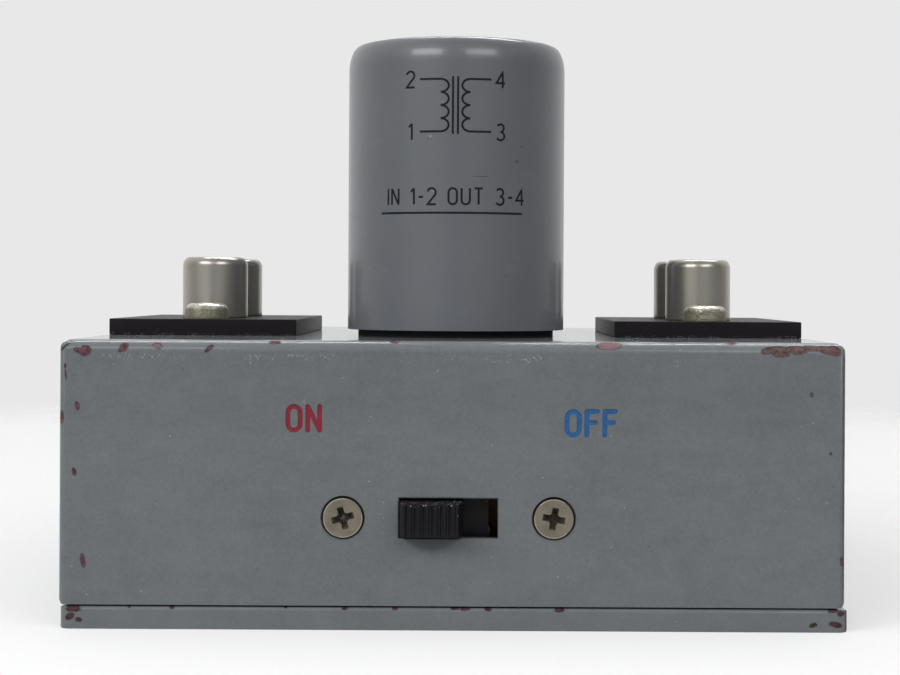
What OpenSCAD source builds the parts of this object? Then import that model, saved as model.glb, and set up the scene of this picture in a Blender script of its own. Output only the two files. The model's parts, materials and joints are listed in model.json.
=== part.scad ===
// Moving coil step-up transformer in a painted sheet metal case.
// Two shielded transformers stand on top, with a pair of phono jacks on a plate at each side
// and one slide switch on the front. Millimetres, Z up, front towards -Y.
// The origin is the centre of the case on the underside of the base plate.

/* [Case] */
// Width of the case, side to side
case_w = 88; // [84:1:110]
// Depth of the case, front to back
case_d = 82; // [76:1:100]
// Height of the case above its base plate
case_h = 29.8; // [28:0.1:45]
// Thickness of the sheet metal
case_wall = 1.5; // [1.3:0.1:2]
// Radius on the top edges
case_edge_r = 1.35; // [0.5:0.05:2.5]
// Radius on the upright corners
case_corner_r = 0.9; // [0.3:0.1:2.5]
// Radius of the fold at the foot of the side walls
case_foot_r = 1.1; // [0.5:0.1:1.3]
// Width of the flange folded in at the foot of each side wall
flange_w = 9; // [8:0.5:14]

/* [Base plate] */
// Thickness of the base plate
base_t = 2.5; // [2.2:0.1:4]
// How far the plate reaches past the case all round
base_lip = 0.1; // [0:0.05:1]
// How far the plate sits to the right of the case
base_offset = 0.25; // [0:0.05:0.5]
// Radius on the plate's corners
base_corner_r = 1.2; // [0.5:0.1:3]
// Radius on the plate's long edges
base_edge_r = 0.4; // [0.2:0.1:0.8]
// Open seam under the front and back walls
seam_gap = 0.2; // [0.1:0.05:0.4]
// Distance of the base screws from the front and back
base_screw_inset = 12; // [8:0.5:16]

/* [Transformer] */
// Outer diameter of the shield can
can_d = 26.9; // [25:0.1:30]
// Height of the shield can
can_h = 35; // [30:0.5:45]
// Wall of the shield can
can_wall = 0.8; // [0.5:0.1:1.2]
// Radius on the top rim of the can
can_rim_r = 1.6; // [1.5:0.1:4]
// Space between the two cans
can_gap = 5; // [2:0.5:6]
// Thickness of the fibre washer under the can
washer_t = 0.85; // [0.5:0.05:1.5]
// How far the fibre washer stays inside the can's edge
washer_inset = 1.3; // [1:0.1:3]
// Thickness of the disc that closes the can
disc_t = 2; // [1.5:0.1:3]
// Diameter of the threaded mounting bush
bush_d = 8; // [7:0.5:9]
// Bore of the bush, which the leads pass through
bush_bore = 4.4; // [4.2:0.1:5]
// Diameter of the bush's head inside the can
bush_head_d = 13; // [11:0.5:15]
// Thickness of the bush's head
bush_head_t = 1.5; // [1:0.1:2]
// Thickness of the bush's nut
bush_nut_t = 3; // [2.5:0.1:4]
// Metal of that nut outside its thread
bush_nut_rim = 2; // [1.5:0.1:3]
// Thickness of the washer under that nut
bush_washer_t = 0.6; // [0.4:0.1:1]
// Least thickness of the potting around the core
pot_skin = 2.2; // [1.5:0.1:3]
// Thickness of the potting under and over the core
pot_floor = 2; // [1.5:0.1:3]
// Air left over the potting
pot_air = 2; // [1:0.1:4]
// Thickness of the lamination stack
core_t = 6; // [5:0.5:7]
// Width of the core's middle leg
leg_w = 5; // [4:0.5:6]
// Wall of the bobbin
bobbin_wall = 0.6; // [0.4:0.1:0.8]
// Thickness of the bobbin's end flanges
bobbin_flange_t = 0.7; // [0.5:0.1:1]
// Thickness of the secondary winding
secondary_t = 2.2; // [1.5:0.1:2.5]

/* [Jacks] */
// Width of a jack plate
plate_w = 23.1; // [18:0.1:24]
// Thickness of a jack plate
plate_t = 2; // [1.5:0.1:3]
// Distance from the plate to the side of the case
plate_margin = 1.25; // [0.5:0.05:3]
// Distance between the two jacks on a plate
jack_pitch = 16; // [14:0.5:19]
// Outer diameter of a jack's shell
jack_d = 8.3; // [8:0.05:8.5]
// Height of a jack above its plate
jack_h = 7.8; // [7.4:0.1:9]
// Wall of the shell
jack_wall = 0.55; // [0.4:0.05:0.7]
// Radius on the shell's top rim
jack_rim_r = 1; // [0.8:0.05:1.2]
// Diameter of the hole in the shell's top
jack_mouth_d = 5.8; // [5.2:0.1:6]
// Thickness of the shell's foot
jack_foot_t = 0.5; // [0.4:0.05:0.8]
// Outer diameter of the neck through the plate
neck_d = 6.4; // [6:0.1:6.6]
// Diameter of the collar that is rolled over below
collar_d = 7.6; // [7.2:0.1:8]
// Bore of the centre contact, for a phono plug's pin
pin_bore = 3.2; // [3:0.05:3.4]
// Wall of the centre contact
contact_wall = 0.4; // [0.3:0.05:0.5]
// Length of the contact's tail below the plate
tail_l = 7.5; // [6:0.5:10]
// Diameter of the contact's tail
tail_d = 2; // [1.9:0.1:2.4]
// Thickness of the ground tags
tag_t = 0.4; // [0.3:0.1:0.6]
// Length of the ground tags below the plate
tag_l = 6.5; // [5:0.5:9]
// Clear hole in the case under each jack
jack_hole_d = 10.4; // [10:0.1:11.5]

/* [Switch] */
// Place of the switch beside the middle of the case
switch_x = -0.4; // [-3:0.1:3]
// Depth of the switch's middle below the case's top
switch_drop = 19.8; // [17:0.1:21]
// Length of the slot in the front wall
slot_w = 11.05; // [10.5:0.05:12]
// Height of the slot
slot_h = 4.45; // [4.2:0.05:5]
// Width of the knob at its foot
knob_w = 7.1; // [6.5:0.1:7.5]
// Clear space over and under the knob in its slot
knob_play = 0.22; // [0.1:0.02:0.3]
// How far the knob stands out of the case
knob_out = 3; // [2:0.1:4]
// How much the knob narrows on each side towards its face
knob_draft = 0.45; // [0.2:0.05:0.6]
// Spacing of the finger grooves on the knob
groove_pitch = 0.96; // [0.9:0.02:1]
// Radius of the finger grooves
groove_r = 0.3; // [0.2:0.02:0.34]
// Number of finger grooves
groove_count = 6; // [4:1:6]
// Length of the carrier past each side of the knob
carrier_shoulder = 2.85; // [2:0.05:3.5]
// Height of the carrier
carrier_h = 7; // [6.5:0.1:8]
// Thickness of the carrier
carrier_t = 3.4; // [2.5:0.1:4]
// Thickness of the switch frame's metal
frame_t = 0.8; // [0.6:0.1:1]
// Distance between the switch's two screws
switch_screw_pitch = 23.6; // [23:0.1:26]
// Thickness of the terminal board
board_t = 1.2; // [1:0.1:1.6]
// Distance between the two rows of terminals
row_pitch = 4.4; // [3.8:0.1:4.8]
// Length of the terminals behind the board
lug_l = 5.5; // [4:0.5:7]
// Thickness of the contact bridges
bridge_t = 0.4; // [0.3:0.05:0.6]

/* [Screws] */
// Thread of the base and plate screws
screw_d = 3; // [2.8:0.1:3.2]
// Head of the countersunk base screws
base_head_d = 5.6; // [5.4:0.1:6]
// Head of the plate screws
pan_d = 5.5; // [5.2:0.1:6]
// Height of the plate screws' heads
pan_h = 2; // [1.6:0.1:2.2]
// Radius on the plate screws' heads
pan_rim_r = 0.9; // [0.5:0.1:1.2]
// Thread of the switch screws
switch_screw_d = 2.6; // [2.4:0.1:2.8]
// Head of the countersunk switch screws
switch_head_d = 4.7; // [4.5:0.1:5]
// Thickness of the plate screws' nuts
nut_t = 2.4; // [2:0.1:3]
// Width of those nuts across their flats
nut_flats = 5.5; // [5.2:0.1:6]

/* [Leads] */
// Diameter of the insulated leads
lead_d = 0.9; // [0.7:0.05:1]
// Step by which the leads hang down and move aside
lead_slack = 4; // [3:0.5:5]

/* [Hidden] */
$fn = 64;

// Clearances
fit_gap = 0.1; // between pieces that are pushed or dropped together
thread_gap = 0.05; // between a thread and its tapped hole
head_gap = 0.15; // round a countersunk head
run_gap = 0.2; // round the sliding carrier
contact_gap = 0.1; // between a contact bridge and a terminal
plug_room = 0.7; // round a jack's shell, for a plug's ring
screw_edge = 0.65; // between a plate screw's head and the end of its plate
thread_spare = 1; // thread that shows past a nut
head_rim = 0.15; // straight rim of a countersunk head
cross_arm = 0.27; // reach of a cross slot, as a share of the head it is cut in
cross_width = 0.14; // width of a cross slot, as a share of that head
cut = 1; // how far a cutting shape reaches past a face

// Heights
z_top = base_t + case_h;
z_under = z_top - case_wall;
z_can = z_top + washer_t;
z_head = z_can + disc_t;
z_pot = z_head + bush_head_t;
z_core = z_pot + pot_floor;
z_plate = z_top + plate_t;
z_tail = z_top - tail_l;
z_tag = z_top - tag_l;
z_bush = z_under - bush_washer_t - bush_nut_t - thread_spare;
z_switch = z_top - switch_drop;

// Case and base
y_panel = -case_d / 2 + case_wall;
base_screw_x = case_w / 2 - flange_w / 2;
base_screw_y = case_d / 2 - base_screw_inset;
base_screw_l = base_t + case_wall + thread_spare;

// Transformers
can_r = can_d / 2;
can_in = can_r - can_wall;
can_y = (can_d + can_gap) / 2;
pot_top = z_can + can_h - can_wall - pot_air;
core_r = can_in - pot_skin;
core_w = 2 * sqrt(core_r * core_r - core_t * core_t / 4);
core_h = pot_top - pot_floor - z_core;
window_w = core_w / 2 - leg_w;
window_h = core_h - leg_w;
tube_x = leg_w / 2 + fit_gap + bobbin_wall;
tube_y = core_t / 2 + fit_gap + bobbin_wall;
coil_t = window_w - 2 * fit_gap - bobbin_wall;
primary_t = coil_t - secondary_t - 2 * fit_gap;
bobbin_h = window_h - 2 * fit_gap;
coil_h = bobbin_h - 2 * bobbin_flange_t;
z_bobbin = z_core + leg_w / 2 + fit_gap;
z_coil = z_bobbin + bobbin_flange_t;
bush_flats = bush_d + 2 * bush_nut_rim;
bush_washer_r = bush_flats / 2 + 1;

// Jacks and their plates
plate_x = case_w / 2 - plate_margin - plate_w / 2;
jack_y = jack_pitch / 2;
plate_screw_y = jack_y + jack_d / 2 + plug_room + pan_d / 2;
plate_d = 2 * (plate_screw_y + pan_d / 2 + screw_edge);
plate_screw_l = plate_t + case_wall + nut_t + thread_spare;
collar_t = 0.5;
neck_in = neck_d / 2 - jack_wall;
contact_r = pin_bore / 2 + contact_wall;
insulator_floor = 0.4; // insulation between the shell's foot and the contact
mouth_drop = 0.3; // how far each inner piece stays below the one outside it
contact_floor = jack_foot_t + insulator_floor;
contact_top = jack_h - jack_wall - mouth_drop;
insulator_top = contact_top - mouth_drop;
contact_floor_t = 0.5; // floor of the contact's blind bore
tag_rim = 0.5; // metal of a ground tag outside the collar
tag_r = collar_d / 2 + tag_rim;
tag_w = 2;

// Switch
travel = slot_w - knob_w - fit_gap;
knob_x = switch_x - travel / 2;
knob_h = slot_h - 2 * knob_play;
carrier_l = knob_w + 2 * carrier_shoulder;
cup_l = carrier_l + travel + 2 * run_gap;
cup_h = carrier_h + 2 * run_gap;
ear_w = 6;
y_frame = y_panel + frame_t;
y_carrier = y_frame + run_gap;
y_bridge = y_carrier + carrier_t;
y_terminal = y_bridge + bridge_t + contact_gap;
terminal_head_t = 0.5;
y_board = y_terminal + terminal_head_t;
y_lug = y_board + board_t + lug_l;
terminal_r = 0.9;
shank_r = 0.5;
lug_w = 1.6;
lug_t = 0.5;
switch_screw_l = case_wall + frame_t + thread_spare;
screw_turns = [16, -10]; // how the two switch screws' crosses came to rest, in degrees

// Solid box that stands on z = 0, centred on the Z axis
module block(w, d, h) {
  translate([-w / 2, -d / 2, 0]) cube([w, d, h]);
}

// Rectangle with round corners, centred
module round_rect(w, d, r) {
  square([w - 2 * r, d], center = true);
  square([w, d - 2 * r], center = true);
  for (x = [-1, 1], y = [-1, 1])
    translate([x * (w / 2 - r), y * (d / 2 - r)]) circle(r);
}

// Upright outline that stands on y = 0, with its own radius at the top and at the foot
module arch(w, h, top_r, foot_r) {
  translate([-w / 2, foot_r]) square([w, h - top_r - foot_r]);
  translate([-w / 2 + foot_r, 0]) square([w - 2 * foot_r, h / 2]);
  translate([-w / 2 + top_r, h / 2]) square([w - 2 * top_r, h / 2]);
  for (x = [-1, 1]) {
    translate([x * (w / 2 - top_r), h - top_r]) circle(top_r);
    translate([x * (w / 2 - foot_r), foot_r]) circle(foot_r);
  }
}

// Block with round corners, round top edges and folds at the foot of its two sides
module soft_block(w, d, h, corner_r, top_r, foot_r) {
  intersection() {
    linear_extrude(h) round_rect(w, d, corner_r);
    rotate([90, 0, 0]) translate([0, 0, -d / 2]) linear_extrude(d) arch(w, h, top_r, foot_r);
    rotate([90, 0, 90]) translate([0, 0, -w / 2]) linear_extrude(w)
      intersection() {
        translate([0, -top_r * 2]) arch(d, h + top_r * 2, top_r, top_r);
        translate([-d / 2, 0]) square([d, h]);
      }
  }
}

// Half section of a cup or head with a round rim
module rim_half(r, h, rim_r) {
  square([r - rim_r, h]);
  square([r, h - rim_r]);
  translate([r - rim_r, h - rim_r]) circle(rim_r);
}

// Straight tube that stands on z = 0
module ring(outer_r, inner_r, h) {
  difference() {
    cylinder(r = outer_r, h = h);
    translate([0, 0, -cut]) cylinder(r = inner_r, h = h + 2 * cut);
  }
}

// Rectangular frame that stands on z = 0
module box_ring(w, d, h, in_w, in_d) {
  difference() {
    block(w, d, h);
    translate([0, 0, -cut]) block(in_w, in_d, h + 2 * cut);
  }
}

// Cross slot for a screwdriver, sunk from z = 0 upwards
module cross_slot(head_d, depth) {
  for (turn = [0, 90])
    rotate(turn) translate([0, 0, -cut]) block(2 * cross_arm * head_d, cross_width * head_d, depth + cut);
}

// Countersunk screw whose head faces down at z = 0
module countersunk_screw(d, head_d, length) {
  taper = (head_d - d) / 2;
  difference() {
    rotate_extrude()
      polygon([
        [0, 0], [head_d / 2, 0], [head_d / 2, head_rim],
        [d / 2, head_rim + taper], [d / 2, length], [0, length]
      ]);
    cross_slot(head_d, taper);
  }
}

// Hole for that screw through a sheet that starts at z = 0
module countersunk_hole(d, head_d, length) {
  r = head_d / 2 + head_gap;
  hole_r = d / 2 + head_gap;
  translate([0, 0, head_rim]) cylinder(r1 = r, r2 = hole_r, h = r - hole_r);
  translate([0, 0, -cut]) cylinder(r = r, h = head_rim + cut);
  cylinder(r = hole_r, h = length);
}

// Places of like pieces
module at_base_screws() {
  for (x = [-1, 1], y = [-1, 1]) translate([x * base_screw_x, y * base_screw_y, 0]) children();
}
module at_cans() {
  for (y = [-1, 1]) translate([0, y * can_y, 0]) children();
}
module at_plate_screws(side) {
  for (y = [-1, 1]) translate([side * plate_x, y * plate_screw_y, 0]) children();
}
module at_jacks(side) {
  for (y = [-1, 1]) translate([side * plate_x, y * jack_y, 0]) children();
}
module at_switch_screws() {
  for (i = [0, 1])
    translate([switch_x + (i - 0.5) * switch_screw_pitch, -case_d / 2, z_switch])
      rotate([-90, 0, 0]) rotate(-screw_turns[i]) children();
}
module at_terminals() {
  for (column = [-1, 0, 1], row = [-0.5, 0.5])
    translate([switch_x + column * travel, y_board, z_switch + row * row_pitch])
      rotate([-90, 0, 0]) children();
}

// Folded and painted box, open below between its two flanges
module case_shell() {
  color("#6b7073") difference() {
    translate([0, 0, base_t])
      soft_block(case_w, case_d, case_h, case_corner_r, case_edge_r, case_foot_r);
    translate([0, 0, base_t + case_wall])
      block(case_w - 2 * case_wall, case_d - 2 * case_wall, case_h - 2 * case_wall);
    translate([0, 0, base_t - cut])
      block(case_w - 2 * flange_w, case_d - 2 * case_wall, case_wall + 2 * cut);
    for (y = [-1, 1])
      translate([0, y * (case_d - case_wall + cut) / 2, base_t - cut])
        block(case_w + 2 * cut, case_wall + cut, seam_gap + cut);
    translate([0, 0, base_t - cut]) at_base_screws()
      cylinder(r = screw_d / 2 + thread_gap, h = case_wall + 2 * cut);
    translate([0, 0, z_under - cut]) {
      at_cans() cylinder(r = bush_d / 2 + fit_gap, h = case_wall + 2 * cut);
      for (side = [-1, 1]) {
        at_jacks(side) cylinder(r = jack_hole_d / 2, h = case_wall + 2 * cut);
        at_plate_screws(side) cylinder(r = screw_d / 2 + fit_gap, h = case_wall + 2 * cut);
      }
    }
    at_switch_screws() countersunk_hole(switch_screw_d, switch_head_d, case_wall + cut);
    translate([switch_x, -case_d / 2 + case_wall / 2, z_switch - slot_h / 2])
      block(slot_w, case_wall + 2 * cut, slot_h);
  }
}

// Plate that closes the case from below
module base_plate() {
  plate_l = case_w + 2 * base_lip;
  plate_b = case_d + 2 * base_lip;
  color("#676c6f") difference() {
    translate([base_offset, 0, 0])
      soft_block(plate_l, plate_b, base_t, base_corner_r, base_edge_r, base_edge_r);
    at_base_screws() countersunk_hole(screw_d, base_head_d, base_t + cut);
  }
}

module base_screws() {
  color("silver") at_base_screws() countersunk_screw(screw_d, base_head_d, base_screw_l);
}

// Drawn shield can, open below
module transformer_can(y) {
  color("#6b7073") translate([0, y * can_y, z_can]) difference() {
    rotate_extrude() rim_half(can_r, can_h, can_rim_r);
    translate([0, 0, -cut]) rotate_extrude()
      rim_half(can_in, can_h - can_wall + cut, can_rim_r - can_wall);
  }
}

// Fibre washer that keeps the can off the paint
module can_washer(y) {
  color("#151515") translate([0, y * can_y, z_top])
    ring(can_r - washer_inset, bush_d / 2 + fit_gap, washer_t);
}

// Disc that closes the can, clamped under the bush's head
module can_disc(y) {
  color("#3a2a1c") translate([0, y * can_y, z_can])
    ring(can_in - fit_gap, bush_d / 2 + fit_gap, disc_t);
}

// Hollow threaded bush that fastens the transformer and lets its leads through
module mounting_bush(y) {
  color("goldenrod") translate([0, y * can_y, 0]) difference() {
    union() {
      translate([0, 0, z_bush]) cylinder(d = bush_d, h = z_pot - z_bush);
      translate([0, 0, z_head]) cylinder(d = bush_head_d, h = bush_head_t);
    }
    translate([0, 0, z_bush - cut]) cylinder(d = bush_bore, h = z_pot - z_bush + 2 * cut);
  }
}

module bush_washers() {
  color("silver") at_cans() translate([0, 0, z_under - bush_washer_t])
    ring(bush_washer_r, bush_d / 2 + fit_gap, bush_washer_t);
}

// Hexagon nut across its flats
module hex_nut(flats, bore_d, h) {
  difference() {
    cylinder(r = flats / 2 / cos(30), h = h, $fn = 6);
    translate([0, 0, -cut]) cylinder(r = bore_d / 2 + thread_gap, h = h + 2 * cut);
  }
}

module bush_nuts() {
  color("goldenrod") at_cans() translate([0, 0, z_under - bush_washer_t - bush_nut_t])
    hex_nut(bush_flats, bush_d, bush_nut_t);
}

// Wax filling that holds the core in the can
module potting(y) {
  coil_x = tube_x + coil_t;
  coil_y = tube_y + coil_t;
  color("#2b2420") translate([0, y * can_y, 0]) difference() {
    translate([0, 0, z_head]) cylinder(r = can_in - fit_gap, h = pot_top - z_head);
    translate([0, 0, z_head - cut]) cylinder(r = bush_head_d / 2 + fit_gap, h = bush_head_t + cut);
    translate([0, 0, z_core]) block(core_w, core_t, core_h);
    translate([0, 0, z_bobbin]) block(2 * coil_x, 2 * coil_y, bobbin_h);
  }
}

// Stack of laminations with a middle leg and two windows
module core(y) {
  color("#8a8d90") translate([0, y * can_y, z_core]) difference() {
    block(core_w, core_t, core_h);
    for (x = [-1, 1])
      translate([x * (leg_w + window_w) / 2, 0, leg_w / 2]) block(window_w, core_t + 2 * cut, window_h);
  }
}

module bobbin(y) {
  flange_x = 2 * (tube_x + coil_t);
  flange_y = 2 * (tube_y + coil_t);
  hole_x = leg_w + 2 * fit_gap;
  hole_y = core_t + 2 * fit_gap;
  color("ivory") translate([0, y * can_y, z_bobbin]) {
    box_ring(2 * tube_x, 2 * tube_y, bobbin_h, hole_x, hole_y);
    for (z = [0, bobbin_h - bobbin_flange_t])
      translate([0, 0, z]) box_ring(flange_x, flange_y, bobbin_flange_t, hole_x, hole_y);
  }
}

// Winding as a closed ring round the bobbin
module winding(y, inside, thick) {
  translate([0, y * can_y, z_coil])
    box_ring(2 * (tube_x + inside + thick), 2 * (tube_y + inside + thick), coil_h,
      2 * (tube_x + inside), 2 * (tube_y + inside));
}

module secondary(y) {
  color("#8c4a26") winding(y, fit_gap, secondary_t);
}

module primary(y) {
  color("#b5622f") winding(y, secondary_t + 2 * fit_gap, primary_t);
}

// Laminate plate under a pair of jacks
module jack_plate(side) {
  color("#202022") difference() {
    translate([side * plate_x, 0, z_top]) block(plate_w, plate_d, plate_t);
    translate([0, 0, z_top - cut]) {
      at_jacks(side) cylinder(r = neck_d / 2 + fit_gap, h = plate_t + 2 * cut);
      at_plate_screws(side) cylinder(r = screw_d / 2 + fit_gap, h = plate_t + 2 * cut);
    }
  }
}

module plate_screws() {
  color("silver") for (side = [-1, 1]) at_plate_screws(side) {
    translate([0, 0, z_plate]) difference() {
      rotate_extrude() rim_half(pan_d / 2, pan_h, pan_rim_r);
      translate([0, 0, pan_h]) mirror([0, 0, 1]) cross_slot(pan_d, pan_h / 2);
    }
    translate([0, 0, z_plate - plate_screw_l]) cylinder(d = screw_d, h = plate_screw_l);
  }
}

module plate_nuts() {
  color("silver") for (side = [-1, 1]) at_plate_screws(side)
    translate([0, 0, z_under - nut_t]) hex_nut(nut_flats, screw_d, nut_t);
}

// Plated shell of a jack, with its neck rolled over under the plate and the ground tag
module jack_shell(side, y) {
  neck_l = plate_t + tag_t;
  r = jack_d / 2;
  color("#b8b3a8") translate([side * plate_x, y * jack_y, z_plate]) rotate_extrude() {
    difference() {
      rim_half(r, jack_h, jack_rim_r);
      translate([0, -cut]) rim_half(r - jack_wall, jack_h - jack_wall + cut, jack_rim_r - jack_wall);
      translate([0, jack_h / 2]) square([jack_mouth_d / 2, jack_h]);
    }
    translate([neck_in, 0]) square([r - neck_in, jack_foot_t]);
    translate([neck_in, -neck_l - collar_t]) square([jack_wall, neck_l + collar_t + jack_foot_t]);
    translate([neck_in, -neck_l - collar_t]) square([collar_d / 2 - neck_in, collar_t]);
  }
}

// Insulating bush inside a jack
module jack_insulator(side, y) {
  neck_l = plate_t + tag_t + collar_t;
  color("#5a3a22") translate([side * plate_x, y * jack_y, z_plate]) difference() {
    union() {
      translate([0, 0, jack_foot_t])
        cylinder(r = jack_d / 2 - jack_wall - fit_gap, h = insulator_top - jack_foot_t);
      translate([0, 0, -neck_l]) cylinder(r = neck_in - fit_gap, h = neck_l + jack_foot_t);
    }
    translate([0, 0, contact_floor]) cylinder(r = contact_r + fit_gap, h = jack_h);
    translate([0, 0, -neck_l - cut]) cylinder(r = tail_d / 2 + fit_gap, h = neck_l + jack_h);
  }
}

// Centre contact of a jack, a blind tube with a solder tail
module jack_contact(side, y) {
  color("#c9a94f") translate([side * plate_x, y * jack_y, z_plate]) difference() {
    union() {
      translate([0, 0, contact_floor]) cylinder(r = contact_r, h = contact_top - contact_floor);
      translate([0, 0, z_tail - z_plate]) cylinder(d = tail_d, h = z_plate - z_tail + contact_floor);
    }
    translate([0, 0, contact_floor + contact_floor_t]) cylinder(d = pin_bore, h = jack_h);
  }
}

// Ring tags under the plates, one to a jack, with a tail that a lead is soldered to
module ground_tags() {
  color("#cfcabb") for (side = [-1, 1]) at_jacks(side) {
    translate([0, 0, z_top - tag_t]) ring(tag_r, neck_d / 2 + fit_gap, tag_t);
    translate([side * (tag_r - tag_t / 2), 0, z_tag]) block(tag_t, tag_w, tag_l);
  }
}

// Pressed cup with two ears that the switch is screwed on by
module switch_frame() {
  ears_l = switch_screw_pitch + ear_w;
  outer_l = cup_l + 2 * frame_t;
  outer_h = cup_h + 2 * frame_t;
  depth = y_board + board_t - y_panel;
  color("#9a9a96") difference() {
    union() {
      translate([switch_x, y_panel + frame_t / 2, z_switch - outer_h / 2]) block(ears_l, frame_t, outer_h);
      translate([switch_x, y_panel + depth / 2, z_switch - outer_h / 2]) block(outer_l, depth, outer_h);
    }
    translate([switch_x, y_frame + depth / 2, z_switch - cup_h / 2]) block(cup_l, depth, cup_h);
    translate([switch_x, y_board + depth / 2, z_switch - cup_h / 2]) block(outer_l + 2 * cut, depth, cup_h);
    translate([switch_x, y_panel, z_switch - slot_h / 2 - run_gap])
      block(slot_w + 2 * run_gap, 2 * frame_t + cut, slot_h + 2 * run_gap);
    at_switch_screws() cylinder(r = switch_screw_d / 2 + thread_gap, h = case_wall + frame_t + cut);
  }
}

// Moulded knob and carrier in one piece, at the left end of its travel
module switch_slider() {
  y_face = -case_d / 2 - knob_out;
  foot = y_carrier + cut - y_face;
  half_w = knob_w / 2;
  half_h = knob_h / 2;
  color("#161616") translate([knob_x, y_face, z_switch]) difference() {
    union() {
      intersection() {
        translate([0, 0, -knob_h]) linear_extrude(2 * knob_h)
          polygon([
            [-half_w + knob_draft, 0], [half_w - knob_draft, 0], [half_w, knob_out], [half_w, foot],
            [-half_w, foot], [-half_w, knob_out]
          ]);
        rotate([90, 0, 90]) translate([0, 0, -knob_w]) linear_extrude(2 * knob_w)
          polygon([
            [0, -half_h + knob_draft / 2], [0, half_h - knob_draft / 2], [knob_out, half_h], [foot, half_h],
            [foot, -half_h], [knob_out, -half_h]
          ]);
      }
      translate([0, y_carrier - y_face + carrier_t / 2, -carrier_h / 2])
        block(carrier_l, carrier_t, carrier_h);
    }
    for (i = [0 : groove_count - 1])
      translate([(i - (groove_count - 1) / 2) * groove_pitch, 0, -knob_h])
        cylinder(r = groove_r, h = 2 * knob_h);
  }
}

// Spring strips on the back of the carrier, each joining two terminals of its row
module contact_bridges() {
  bridge_l = travel + 2 * terminal_r;
  color("#c9a94f") for (row = [-0.5, 0.5])
    translate([knob_x, y_bridge + bridge_t / 2, z_switch + row * row_pitch - terminal_r])
      block(bridge_l, bridge_t, 2 * terminal_r);
}

module terminal_board() {
  color("#6a4a2a") difference() {
    translate([switch_x, y_board + board_t / 2, z_switch - cup_h / 2 + fit_gap])
      block(cup_l + 2 * frame_t, board_t, cup_h - 2 * fit_gap);
    at_terminals() translate([0, 0, -cut]) cylinder(r = shank_r + fit_gap, h = board_t + 2 * cut);
  }
}

// Riveted terminals with flat lugs behind the board
module switch_terminals() {
  color("#cfcabb") at_terminals() {
    translate([0, 0, -terminal_head_t]) cylinder(r = terminal_r, h = terminal_head_t);
    cylinder(r = shank_r, h = board_t);
    translate([0, 0, board_t]) block(lug_w, lug_t, lug_l);
  }
}

module switch_screws() {
  color("#a89d86") at_switch_screws() countersunk_screw(switch_screw_d, switch_head_d, switch_screw_l);
}

// Smooth path through a list of points, with two steps to each stretch
function bend(a, b, c, d, t) =
  0.5 * (2 * b + (c - a) * t + (2 * a - 5 * b + 4 * c - d) * t * t + (3 * b - a - 3 * c + d) * t * t * t);
function path(p, n = 2) = [
  for (i = [0 : len(p) - 2], k = [0 : n - 1])
    bend(p[max(i - 1, 0)], p[i], p[i + 1], p[min(i + 2, len(p) - 1)], k / n),
  p[len(p) - 1]
];
function unit(v) = v / norm(v);
function heading(p, i) = unit(p[min(i + 1, len(p) - 1)] - p[max(i - 1, 0)]);

// Insulated lead along a list of points
module lead(points) {
  sides = 8;
  lean = [0.53, 0.61, 0.59];
  p = path(points);
  rings = [
    for (i = [0 : len(p) - 1])
      let (t = heading(p, i), u = unit(cross(t, lean)), v = cross(t, u))
        for (k = [0 : sides - 1])
          p[i] + lead_d / 2 * (u * cos(k * 360 / sides) + v * sin(k * 360 / sides))
  ];
  last = (len(p) - 1) * sides;
  faces = [
    [for (k = [0 : sides - 1]) k],
    for (i = [0 : len(p) - 2], k = [0 : sides - 1])
      let (a = i * sides + k, b = i * sides + (k + 1) % sides)
        each [[a, a + sides, b], [b, a + sides, b + sides]],
    [for (k = [sides - 1 : -1 : 0]) last + k]
  ];
  polyhedron(rings, faces);
}

// Ends of the leads: inside a bush, under a jack's tail, under a ground tag and behind a switch lug
bush_step = bush_bore / 2 - lead_d; // distance between leads in a bush
tail_step = lead_d / 2 + fit_gap; // half the distance between two leads on one tail
fan_out = 0.7; // how far a lead moves aside just below its bush
straight = 1.5; // straight run at the end of a lead
turn_run = 4; // where a lead starts to turn towards its end
function from_bush(y, x_side, y_side) =
  let (x = x_side * bush_step / 2, at_y = y * (can_y + y_side * bush_step / 2))
    [
      [x, at_y, z_pot], [x, at_y, z_bush], [x, at_y, z_bush - straight],
      [x + x_side * fan_out, at_y + y * y_side * fan_out, z_bush - turn_run],
      [x + 4 * x_side * fan_out, at_y + 2 * y * y_side * fan_out, z_bush - 1.5 * turn_run]
    ];
function to_tail(side, y, step) =
  let (x = side * plate_x + step, at_y = y * jack_y)
    [
      [x + 3 * step, at_y, z_tail - 1.5 * turn_run], [x, at_y, z_tail - turn_run],
      [x, at_y, z_tail - straight], [x, at_y, z_tail]
    ];
function to_tag(side, y) =
  let (x = side * (plate_x + tag_r - tag_t / 2), at_y = y * jack_y)
    [[x, at_y, z_tag - turn_run], [x, at_y, z_tag - straight], [x, at_y, z_tag]];
function to_lug(column, row) =
  let (x = switch_x + column * travel, z = z_switch + row * row_pitch)
    [[x, y_lug + turn_run, z], [x, y_lug + straight, z], [x, y_lug, z]];
function turned(p) = [for (i = [len(p) - 1 : -1 : 0]) p[i]];

// Way-points between the two ends of a lead, each moved aside by some steps of the lead's slack
function run(from, to, steps) =
  let (a = from[len(from) - 1], b = to[0], n = len(steps))
    concat(from, [for (i = [0 : n - 1]) a + (b - a) * (i + 1) / (n + 1) + steps[i] * lead_slack], to);

// Primary leads to the input jacks, front and rear alike
module yellow_leads() {
  color("gold") for (y = [-1, 1])
    lead(run(from_bush(y, -1, -1), to_tail(-1, y, tail_step), [[0, 0, -1], [0, 0, -1]]));
}

module black_leads() {
  color("#1a1a1a") for (y = [-1, 1])
    lead(run(from_bush(y, -1, 1), to_tag(-1, y), [[0, y / 2, -0.25], [0, y * 0.75, -0.25]]));
}

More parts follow.
